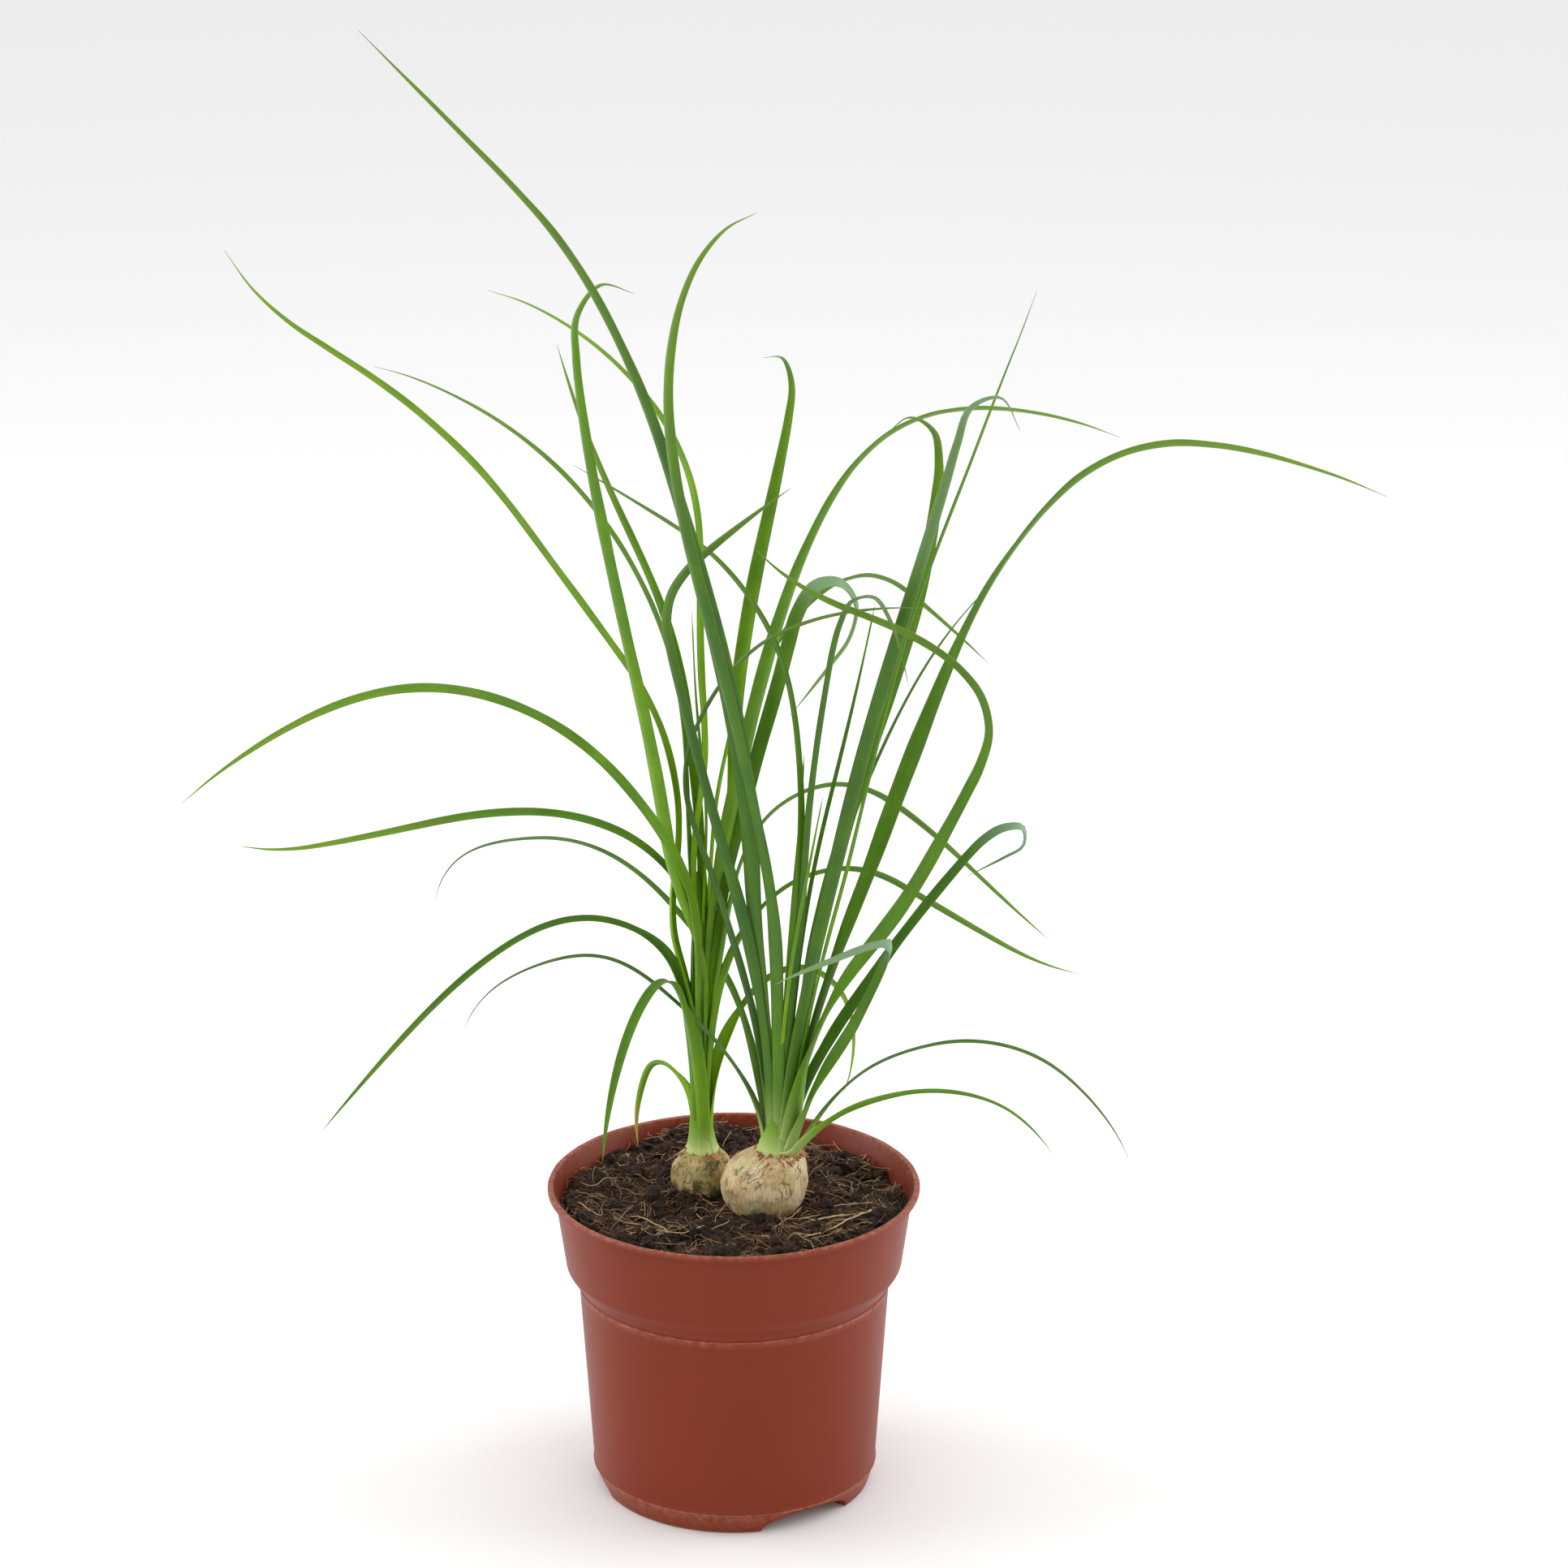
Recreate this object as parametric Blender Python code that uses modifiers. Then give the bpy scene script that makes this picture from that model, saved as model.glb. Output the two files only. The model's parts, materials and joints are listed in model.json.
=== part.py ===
"""Potted ponytail palm: two young palms with swollen stem bases in a plain plastic nursery pot.

Metres, +Z up. The pot's axis is the Z axis and the table is the XY plane. The viewer stands at -Y.
Headings are in degrees, seen from above: 0 is +X, 90 is +Y (the back), 180 is -X, 270 is the front.
"""
import math
from collections import namedtuple

import bmesh
import bpy
import numpy as np
from mathutils import Vector
from mathutils.bvhtree import BVHTree

MM = 0.001

# Pot, in millimetres
POT_HEIGHT = 103.0
RIM_RADIUS = 60.0
LIP_HEIGHT = 1.8
LIP_REACH = 2.2
LIP_ROUND = 0.4
MOUTH_FLARE = 1.2
COLLAR_DEPTH = 25.5
COLLAR_DRAFT = 3.4
SHOULDER_HEIGHT = 8.0
SHOULDER_STEP = 4.2
FOOT_HEIGHT = 7.0
BODY_FOOT_RADIUS = 46.0
FOOT_DRAFT = 2.0
WALL = 1.0
POT_STEPS = 64

# Drainage channels under the floor: cones that widen outwards, with a hole through each roof
CHANNEL_COUNT = 3
CHANNEL_HEADING = 63.5
CHANNEL_HALF_ANGLE = 22.0
CHANNEL_HEIGHT = 6.0
CHANNEL_START = 12.0
DRAIN_RADIUS = 3.0
DRAIN_DISTANCE = 31.0

# Soil
SOIL_DROP = 5.6
SOIL_EDGE_DROP = 8.0
SOIL_MOUND_RADIUS = 26.0
FIT_GAP = 0.35

# The two swollen stem bases, heights above the soil. They stand side by side either side of one
# point, each on its heading from that point.
Bulb = namedtuple("Bulb", "heading radius widest_height crown_height crown_radius lean")
BULBS = {
    "left": Bulb(144.63, 10.2, 4.6, 13.6, 4.8, 0.0),
    "right": Bulb(-35.37, 14.0, 8.2, 19.6, 6.8, 4.5),
}
BULB_MEETING = (-1.85, 2.7)
BULB_GAP = 0.33
BULB_STEPS = 28

# Leaves: headings, length and width in mm, rolls about the leaf's own line, and tilts from upright
# (past 90 the leaf points down, and a negative tilt leans back). Headings, rolls and tilts are at
# even steps from base to tip. Oldest and outermost leaves first.
Leaf = namedtuple("Leaf", "headings length width rolls tilts")
LEFT_LEAVES = (
    Leaf((170, 125), 68, 2.8, (60,), (0, 2, 52, 152, 168, 196)),
    Leaf((245,), 143, 3.8, (-10,), (2, 6, 30, 107, 146, 172)),
    Leaf((8,), 126, 2.4, (60,), (0, 6, 21, 58, 132, 178, 200)),
    Leaf((195,), 210, 2.8, (-50,), (2, 2, 60, 119, 135, 139)),
    Leaf((20,), 209, 3.0, (-60,), (0, 5, 26, 80, 125, 124, 108)),
    Leaf((32,), 252, 4.0, (-30,), (1, 3, 13, 75, 128, 135, 133)),
    Leaf((168,), 244, 3.3, (0, -20, -40, -70, -70), (0, 0, 1, 30, 74, 97, 106, 104, 84)),
    Leaf((215,), 308, 4.6, (-80, -80, -60, -25, -25), (0, 0, 24, 47, 71, 102, 122)),
    Leaf((42,), 280, 4.4, (-20,), (2, 2, 10, 20, 61, 128, 132)),
    Leaf((188,), 350, 4.4, (-30,), (0, 1, 2, 13, 34, 34, 45, 55, 28)),
    Leaf((150,), 309, 3.6, (10,), (1, 0, 3, 29, 60, 86)),
    Leaf((22,), 329, 6.4, (-80, -80, -70, -30, -10), (0, 2, 12, 17, 33, 92, 116)),
    Leaf((130,), 272, 4.2, (0,), (1, 0, 7, 40, 25)),
    Leaf((35,), 252, 6.2, (20, 20, 30, 60), (0, 2, 6, 11, 14, 16, 18, 24, 130, 226, 228)),
    Leaf((210,), 309, 6.4, (20,), (0, 1, 8, 11, 12, 13, 12, 9, 2, -140)),
    Leaf((150,), 317, 4.2, (0,), (0, -1, 0, -1, 46, 84)),
    Leaf((55,), 272, 5.6, (20,), (0, 4, 11, 10, 8, 15, 22, 18, -100)),
    Leaf((60,), 174, 1.8, (0,), (0, 6, 16, 2)),
    Leaf((140,), 180, 1.6, (0,), (0, -1, 2, 2)),
)
RIGHT_LEAVES = (
    Leaf((325,), 112, 3.6, (-40,), (46, 54, 72, 92, 135)),
    Leaf((345,), 140, 2.4, (0,), (36, 42, 67, 97, 134, 156)),
    Leaf((166,), 141, 2.2, (0,), (5, 31, 43, 60, 103, 124, 158)),
    Leaf((138,), 209, 2.6, (-10,), (8, 27, 43, 73, 100, 115, 160)),
    Leaf(
        (330, 330, 330, 330, 330, 330, 330, 330, 200, 190, 188, 188), 126, 5.0, (60,),
        (22, 24, 26, 27, 27, 26, 24, 20, 95, 116, 116, 114),
    ),
    Leaf((12,), 158, 5.0, (30,), (15, 20, 26, 30, 34, 38, 40, 42, 75, 245, 245)),
    Leaf((5,), 340, 6.6, (40, 40, 40, -10, -30, -25), (10, 16, 19, 23, 43, 98, 116)),
    Leaf((330,), 270, 6.0, (60,), (10, 21, 33, 29, 25, -56, -80, -54)),
    Leaf((35,), 196, 2.0, (0,), (6, 10, 23, 34, 56)),
    Leaf((25,), 259, 6.2, (30,), (7, 8, 11, 16, 20, 19, 12, 1, -150)),
    Leaf((150,), 240, 4.0, (5,), (2, 12, 19, 12, -14, -46, -71, -84)),
    Leaf((335,), 281, 5.0, (-65,), (6, 8, 10, 12, 14, 16, 17, 17, 16, 182)),
    Leaf((50,), 177, 1.6, (30,), (3, 10, 22, 18)),
    Leaf((352,), 292, 2.4, (-20,), (9, 12, 13, 20, 17)),
    Leaf((320,), 229, 4.2, (0,), (2, 3, 4, 5, 6, 7, 8, 10, 12, 30, 150, 165)),
    Leaf((188,), 239, 4.4, (60,), (2, 5, 10, 15, 14, 12, -50, -56)),
    Leaf((225,), 330, 6.2, (0,), (0, 2, 8, 16, 18, 11, -18, -88)),
    Leaf((205,), 403, 6.2, (60, 60, 60, 30, 10, 10), (0, 4, 7, 14, 18, 28, 43, 43)),
    Leaf((300,), 130, 1.6, (0,), (2, 7, 17, 18)),
    Leaf((60,), 129, 1.6, (0,), (1, 6, 10, 4)),
    Leaf((135,), 272, 3.0, (0,), (-6, -8, -4, 8, 42, 75, 77)),
)
LEAF_THICKNESS = 0.6
LEAF_STATIONS = 25
LEAF_FINE_STEPS = 8
LEAF_GAP = 0.3
# How far the outermost leaf roots stay inside the edge of the stem's flat top
ROOT_MARGIN = 1.0
# A leaf shorter than this opens from its clasped width sooner, in proportion
OPENING_LENGTH = 240.0
# Where the long taper to the tip starts and where the roll is full, as shares of the length
TAPER_START = 0.5
TAPER_POWER = 3.2
TIP_SHARE = 0.03
ROLL_FULL = 0.35
# Width of a leaf where it is clasped by the others, and how far up it stays narrow
Clasp = namedtuple("Clasp", "width start end")
CLASPS = {"left": Clasp(1.7, 45.0, 120.0), "right": Clasp(2.2, 8.0, 70.0)}
# Spreading the leaves until none touch: most passes, step, and how far along a leaf a push is felt
SPREAD_PASSES = 140
SPREAD_STEP = 0.35
SPREAD_REACH = 16.0
# Two leaves whose lines cross at more than this sine are pushed apart square to both
CROSSING_SINE = 0.4

SOIL_TOP = POT_HEIGHT - SOIL_DROP


def clear_scene():
    """Empty the file."""
    for old in list(bpy.data.objects):
        bpy.data.objects.remove(old, do_unlink=True)


def new_collection(name):
    """A collection linked to the scene."""
    collection = bpy.data.collections.new(name)
    bpy.context.scene.collection.children.link(collection)
    return collection


def material(name, colour, roughness, metallic=0.0):
    """A plain Principled material."""
    made = bpy.data.materials.new(name)
    made.use_nodes = True
    shader = made.node_tree.nodes["Principled BSDF"]
    shader.inputs["Base Color"].default_value = (*colour, 1.0)
    shader.inputs["Roughness"].default_value = roughness
    shader.inputs["Metallic"].default_value = metallic
    return made


def new_object(name, mesh, collection, surface=None):
    """An object for a mesh, in a collection, with its material and smooth shading."""
    made = bpy.data.objects.new(name, mesh)
    collection.objects.link(made)
    if surface:
        mesh.materials.append(surface)
        mesh.shade_smooth()
    return made


def fill_mesh(mesh, shape):
    """Write a bmesh into a mesh with its faces turned outwards."""
    bmesh.ops.recalc_face_normals(shape, faces=shape.faces)
    if shape.calc_volume(signed=True) < 0.0:
        bmesh.ops.reverse_faces(shape, faces=shape.faces)
    shape.to_mesh(mesh)
    shape.free()


def turned(name, profile, steps, collection, surface=None):
    """A solid of revolution: (radius, height) points in mm from the top of the axis to its foot."""
    mesh = bpy.data.meshes.new(name)
    points = [(radius * MM, 0.0, height * MM) for radius, height in profile]
    mesh.from_pydata(points, [(i, i + 1) for i in range(len(points) - 1)], [])
    made = new_object(name, mesh, collection, surface)
    screw = made.modifiers.new("Turn", "SCREW")
    screw.steps = steps
    screw.render_steps = steps
    screw.use_merge_vertices = True
    screw.merge_threshold = 1e-6
    screw.use_smooth_shade = True
    screw.use_normal_calculate = True
    return made


def cut(target, cutter):
    """Take one object away from another."""
    boolean = target.modifiers.new("Cut " + cutter.name, "BOOLEAN")
    boolean.operation = "DIFFERENCE"
    boolean.solver = "EXACT"
    boolean.object = cutter


def as_cutter(made):
    """Hide an object that only cuts."""
    made.hide_render = True
    made.display_type = "WIRE"
    return made


def ease(value):
    """A smooth step from 0 to 1."""
    value = min(max(value, 0.0), 1.0)
    return value * value * (3.0 - 2.0 * value)


def outer_wall():
    """The pot's outside from under the lip to the foot, as (radius, height)."""
    collar_top = RIM_RADIUS - LIP_REACH
    collar_foot = collar_top - COLLAR_DRAFT
    collar_foot_height = POT_HEIGHT - COLLAR_DEPTH
    points = [(collar_top, POT_HEIGHT - LIP_HEIGHT), (collar_foot, collar_foot_height)]
    for i in range(1, 7):
        share = i / 6
        radius = collar_foot - SHOULDER_STEP * ease(share)
        points.append((radius, collar_foot_height - SHOULDER_HEIGHT * share))
    points.append((BODY_FOOT_RADIUS, FOOT_HEIGHT))
    points.append((BODY_FOOT_RADIUS - FOOT_DRAFT, 0.0))
    return points


def inner_wall(inset):
    """The outside moved inwards, down to the top of the floor, as (radius, height)."""
    wall = [(radius - inset, height) for radius, height in outer_wall()]
    return wall[:-1] + [(BODY_FOOT_RADIUS - FOOT_DRAFT - inset, inset)]


def inner_radius(height, inset):
    """Radius of the moved-in wall at a height."""
    wall = inner_wall(inset)[::-1]
    return float(np.interp(height, [z for _, z in wall], [radius for radius, _ in wall]))


def channel_cutters(grow, collection, label):
    """The arched drainage channels under the floor, grown outwards by some mm."""
    reach = RIM_RADIUS
    half_width = math.tan(math.radians(CHANNEL_HALF_ANGLE))
    squash = CHANNEL_HEIGHT / ((BODY_FOOT_RADIUS - FOOT_DRAFT) * half_width)
    for i in range(CHANNEL_COUNT):
        heading = math.radians(CHANNEL_HEADING + i * 360.0 / CHANNEL_COUNT)
        mesh = bpy.data.meshes.new(f"{label}_{i + 1}")
        shape = bmesh.new()
        bmesh.ops.create_cone(
            shape, cap_ends=True, segments=24, depth=1.0,
            radius1=CHANNEL_START * half_width * MM + grow * MM / squash ** 0.5,
            radius2=reach * half_width * MM + grow * MM / squash ** 0.5,
        )
        start = (CHANNEL_START - grow) * MM
        for vert in shape.verts:
            along = start + (vert.co.z + 0.5) * (reach * MM - start)
            rise = -vert.co.y * squash + (grow * MM * (1.0 - squash ** 0.5) if vert.co.y < 0 else 0.0)
            vert.co = Vector((along, vert.co.x, rise))
        fill_mesh(mesh, shape)
        made = as_cutter(new_object(mesh.name, mesh, collection))
        made.rotation_euler.z = heading
        yield made


def drain_cutters(collection):
    """The holes through the channels' roofs."""
    for i in range(CHANNEL_COUNT):
        heading = math.radians(CHANNEL_HEADING + i * 360.0 / CHANNEL_COUNT)
        mesh = bpy.data.meshes.new(f"drain_{i + 1}")
        shape = bmesh.new()
        bmesh.ops.create_cone(
            shape, cap_ends=True, segments=20, depth=4.0 * CHANNEL_HEIGHT * MM,
            radius1=DRAIN_RADIUS * MM, radius2=DRAIN_RADIUS * MM,
        )
        fill_mesh(mesh, shape)
        made = as_cutter(new_object(mesh.name, mesh, collection))
        made.location = (
            DRAIN_DISTANCE * MM * math.cos(heading),
            DRAIN_DISTANCE * MM * math.sin(heading),
            0.0,
        )
        yield made


def make_pot(collection, cutters):
    """The moulded pot: lip, deep collar, shoulder, tapered body and a floor with drainage channels."""
    lip_foot = POT_HEIGHT - LIP_HEIGHT
    profile = [
        (0.0, POT_HEIGHT),
        (RIM_RADIUS - LIP_ROUND, POT_HEIGHT),
        (RIM_RADIUS, POT_HEIGHT - LIP_ROUND),
        (RIM_RADIUS, lip_foot + LIP_ROUND),
        (RIM_RADIUS - LIP_ROUND, lip_foot),
        *outer_wall(),
        (0.0, 0.0),
    ]
    plastic = material("terracotta plastic", (0.33, 0.07, 0.035), 0.42)
    pot = turned("pot", profile, POT_STEPS, collection, plastic)
    for cutter in channel_cutters(0.0, cutters, "channel"):
        cut(pot, cutter)
    above_rim = POT_HEIGHT + 5.0
    wall = inner_wall(WALL)
    mouth = wall[0][0] + MOUTH_FLARE
    hollow = turned(
        "pot_hollow",
        [(0.0, above_rim), (mouth, above_rim), (mouth, POT_HEIGHT), *wall, (0.0, WALL)],
        POT_STEPS, cutters,
    )
    for cutter in channel_cutters(WALL, cutters, "channel_roof"):
        cut(as_cutter(hollow), cutter)
    cut(pot, hollow)
    for cutter in drain_cutters(cutters):
        cut(pot, cutter)


def bulb_profile(bulb, grow):
    """A swollen stem base, flat on top where the leaves spring, as (radius, height above the soil)."""
    below = -math.pi / 2
    top = math.acos(bulb.crown_radius / bulb.radius)
    rise = (bulb.crown_height - bulb.widest_height) / math.sin(top)
    points = [(0.0, bulb.crown_height + grow)]
    for i in range(13):
        angle = top + (below - top) * i / 12
        tall = (rise if angle > 0 else bulb.radius) + grow
        height = bulb.widest_height + tall * math.sin(angle)
        points.append(((bulb.radius + grow) * math.cos(angle), height))
    points[1] = (bulb.crown_radius + grow, bulb.crown_height + grow)
    points[-1] = (0.0, points[-1][1])
    return points


def bulb_axis(bulb):
    """X and Y in mm of a stem base's axis: far enough from the meeting point to clear the other."""
    heading = math.radians(bulb.heading)
    reach = bulb.radius + BULB_GAP / 2
    return BULB_MEETING[0] + reach * math.cos(heading), BULB_MEETING[1] + reach * math.sin(heading)


def place_bulb(name, bulb, grow, collection, surface=None):
    """A stem base set in its place; its upper half leans towards +X."""
    profile = bulb_profile(bulb, grow)
    turned_bulb = turned(name, profile, BULB_STEPS, collection, surface)
    evaluated = turned_bulb.evaluated_get(bpy.context.evaluated_depsgraph_get())
    mesh = bpy.data.meshes.new_from_object(evaluated)
    turned_bulb.modifiers.clear()
    turned_bulb.data = mesh
    upper = bulb.crown_height - bulb.widest_height
    for vert in mesh.vertices:
        share = max(0.0, vert.co.z / MM - bulb.widest_height) / upper
        vert.co.x += bulb.lean * MM * min(share, 1.0) ** 2
    x, y = bulb_axis(bulb)
    turned_bulb.location = (x * MM, y * MM, SOIL_TOP * MM)
    return turned_bulb


def make_soil(collection, cutters):
    """The soil: it fills the pot, mounds a little in the middle and takes the two stem bases."""
    inset = WALL + FIT_GAP
    edge_height = POT_HEIGHT - SOIL_EDGE_DROP
    edge_radius = inner_radius(edge_height, inset)
    profile = [(0.0, SOIL_TOP)]
    for i in range(7):
        share = i / 6
        radius = SOIL_MOUND_RADIUS + (edge_radius - SOIL_MOUND_RADIUS) * share
        profile.append((radius, SOIL_TOP + (edge_height - SOIL_TOP) * ease(share)))
    profile += [(radius, height) for radius, height in inner_wall(inset) if height < edge_height]
    profile.append((0.0, inset))
    earth = material("potting soil", (0.03, 0.02, 0.014), 0.95)
    soil = turned("soil", profile, POT_STEPS, collection, earth)
    for cutter in channel_cutters(inset, cutters, "channel_clearance"):
        cut(soil, cutter)
    for side, bulb in BULBS.items():
        cut(soil, as_cutter(place_bulb(f"{side}_bulb_socket", bulb, FIT_GAP, cutters)))


def make_bulbs(collection):
    """The two swollen stem bases."""
    bark = material("dry bulb skin", (0.55, 0.38, 0.2), 0.7)
    for side, bulb in BULBS.items():
        place_bulb(f"{side}_bulb", bulb, 0.0, collection, bark)


def crown_centre(bulb):
    """Middle of a stem base's flat top, in mm."""
    x, y = bulb_axis(bulb)
    return np.array([x + bulb.lean, y, SOIL_TOP + bulb.crown_height])


def smooth_between(values, where):
    """Values at even steps, joined by a curve that never overshoots them."""
    values = np.asarray(values, float)
    if len(values) == 1:
        return np.full(len(where), values[0])
    slopes = np.diff(values)
    ends = np.zeros(len(values))
    same_way = slopes[1:] * slopes[:-1] > 0
    both = slopes[1:] + slopes[:-1]
    ends[1:-1][same_way] = (2.0 * slopes[1:] * slopes[:-1])[same_way] / both[same_way]
    ends[0] = slopes[0]
    ends[-1] = slopes[-1]
    spot = np.clip(where, 0.0, 1.0) * (len(values) - 1)
    low = np.minimum(spot.astype(int), len(values) - 2)
    t = spot - low
    return (
        (2 * t**3 - 3 * t**2 + 1) * values[low] + (t**3 - 2 * t**2 + t) * ends[low]
        + (3 * t**2 - 2 * t**3) * values[low + 1] + (t**3 - t**2) * ends[low + 1]
    )


class Blade:
    """One leaf while it is being laid out: its line, its frame and its width, all in mm."""

    def __init__(self, name, leaf, clasp, root):
        self.name = name
        self.length = leaf.length
        share = np.linspace(0.0, 1.0, LEAF_STATIONS)
        count = (LEAF_STATIONS - 1) * LEAF_FINE_STEPS
        middles = (np.arange(count) + 0.5) / count
        tilt = np.radians(smooth_between(leaf.tilts, middles))
        heading = np.radians(smooth_between(leaf.headings, middles))
        out = np.sin(tilt)
        steps = np.stack([out * np.cos(heading), out * np.sin(heading), np.cos(tilt)], 1)
        steps *= leaf.length / count
        line = np.concatenate([[root], root + np.cumsum(steps, 0)])
        self.line = line[::LEAF_FINE_STEPS].copy()
        turn = np.radians(smooth_between(leaf.headings, share))
        self.flat = np.stack([-np.sin(turn), np.cos(turn), np.zeros(len(turn))], 1)
        begun = np.array([ease(value / ROLL_FULL) for value in share])
        self.roll = np.radians(smooth_between(leaf.rolls, share)) * begun
        self.reach = share * leaf.length
        self.width = self.widths(leaf.width, clasp, share)

    def widths(self, full, clasp, share):
        """Narrow where clasped, full along the blade, then a long taper to the tip."""
        base = min(clasp.width, full)
        room = min(1.0, self.length / OPENING_LENGTH)
        start, end = clasp.start * room, clasp.end * room
        opened = np.array([ease((reach - start) / (end - start)) for reach in self.reach])
        tapered = np.clip((share - TAPER_START) / (1.0 - TAPER_START), 0.0, 1.0) ** TAPER_POWER
        return (base + (full - base) * opened) * (1.0 - (1.0 - TIP_SHARE) * tapered)

    def frame(self):
        """Tangent, width direction and face normal at each station."""
        tangent = np.gradient(self.line, axis=0)
        tangent /= np.linalg.norm(tangent, axis=1)[:, None]
        side = self.flat - tangent * np.sum(self.flat * tangent, 1)[:, None]
        side /= np.linalg.norm(side, axis=1)[:, None]
        normal = np.cross(tangent, side)
        turned_side = side * np.cos(self.roll)[:, None] + normal * np.sin(self.roll)[:, None]
        return tangent, turned_side, np.cross(tangent, turned_side)

    def shape(self, grow):
        """Corners and faces of the leaf, grown all round by some mm."""
        _, side, normal = self.frame()
        half = (self.width / 2 + grow)[:-1, None]
        thick = LEAF_THICKNESS / 2 + grow
        rows = self.line[:-1]
        corners = np.stack([
            rows - side[:-1] * half - normal[:-1] * thick,
            rows + side[:-1] * half - normal[:-1] * thick,
            rows + side[:-1] * half + normal[:-1] * thick,
            rows - side[:-1] * half + normal[:-1] * thick,
        ], 1).reshape(-1, 3)
        points = np.concatenate([corners, self.line[-1:]])
        faces = []
        for row in range(len(rows) - 1):
            for i in range(4):
                j = (i + 1) % 4
                faces.append((row * 4 + i, row * 4 + j, row * 4 + 4 + j, row * 4 + 4 + i))
        last = (len(rows) - 1) * 4
        faces += [(last + i, last + (i + 1) % 4, last + 4) for i in range(4)]
        faces.append((3, 2, 1, 0))
        return points, faces


def lay_out(side, leaves):
    """Set one plant's leaves on rings around its crown, the oldest outermost."""
    bulb = BULBS[side]
    crown = crown_centre(bulb)
    count = len(leaves)
    blades = []
    for i, leaf in enumerate(leaves):
        ring = (bulb.crown_radius - ROOT_MARGIN) * math.sqrt(1.0 - i / count)
        heading = math.radians(leaf.headings[0])
        root = crown + np.array([ring * math.cos(heading), ring * math.sin(heading), FIT_GAP])
        blades.append(Blade(f"{side}_leaf_{i + 1:02d}", leaf, CLASPS[side], root))
    return blades


def touching(first, second):
    """Pairs of stations where two grown leaves cut each other."""
    hits = first.tree.overlap(second.tree)
    last = LEAF_STATIONS - 1
    return {(min(a // 4, last), min(b // 4, last)) for a, b in hits}


def push_direction(first, second, a, b):
    """The way to move the first leaf off the second at two stations."""
    apart = first.line[a] - second.line[b]
    across = np.cross(first.tangent[a], second.tangent[b])
    size = np.linalg.norm(across)
    if size > CROSSING_SINE:
        across /= size
        return across if apart @ across >= 0 else -across
    along = first.tangent[a]
    flat = apart - along * (apart @ along)
    size = np.linalg.norm(flat)
    if size < 1e-6:
        return first.flat[a]
    return flat / size


def spread(blades):
    """Move leaves apart until their grown shapes are clear; every root keeps its height."""
    sharpness = 2.0 * SPREAD_REACH**2
    for _ in range(SPREAD_PASSES):
        for blade in blades:
            blade.tangent = blade.frame()[0]
            points, faces = blade.shape(LEAF_GAP / 2)
            blade.tree = BVHTree.FromPolygons(points.tolist(), faces)
            blade.push = np.zeros_like(blade.line)
        clashes = 0
        for i, first in enumerate(blades):
            for second in blades[i + 1:]:
                for a, b in touching(first, second):
                    clashes += 1
                    way = push_direction(first, second, a, b) * SPREAD_STEP
                    for blade, station, sign in ((first, a, 1.0), (second, b, -1.0)):
                        reach = np.exp(-((blade.reach - blade.reach[station]) ** 2) / sharpness)
                        blade.push += sign * way * reach[:, None] / 2.0
        if not clashes:
            break
        for blade in blades:
            size = np.linalg.norm(blade.push, axis=1).max()
            if size > SPREAD_STEP:
                blade.push *= SPREAD_STEP / size
            blade.push[0, 2] = 0.0
            blade.line = blade.line + blade.push


def make_leaves(collection):
    """Every leaf as its own closed ribbon."""
    blades = lay_out("left", LEFT_LEAVES) + lay_out("right", RIGHT_LEAVES)
    spread(blades)
    green = material("leaf green", (0.11, 0.24, 0.045), 0.45)
    for blade in blades:
        points, faces = blade.shape(0.0)
        mesh = bpy.data.meshes.new(blade.name)
        mesh.from_pydata((points * MM).tolist(), [], faces)
        shape = bmesh.new()
        shape.from_mesh(mesh)
        fill_mesh(mesh, shape)
        new_object(blade.name, mesh, collection, green)


def main():
    """Build the whole plant."""
    clear_scene()
    palm = new_collection("potted_ponytail_palm")
    cutters = new_collection("cutters")
    make_pot(palm, cutters)
    make_soil(palm, cutters)
    make_bulbs(palm)
    make_leaves(palm)
    cutters.hide_render = True


main()
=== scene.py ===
"""Looks for the potted ponytail palm: a plastic nursery pot, its soil, two swollen stem bases and
forty strap leaves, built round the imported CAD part.

The frame is in metres, +Z up, with the viewer at -Y. Shapes are worked out in millimetres.
Headings are in degrees seen from above: 0 is +X, 90 is the back, 270 is the front.
"""
import json
import math

import bmesh
import bpy
import numpy as np
from bpy.props import FloatProperty, FloatVectorProperty, IntProperty, PointerProperty
from bpy.types import Operator, Panel, PropertyGroup
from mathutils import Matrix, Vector, noise

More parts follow.
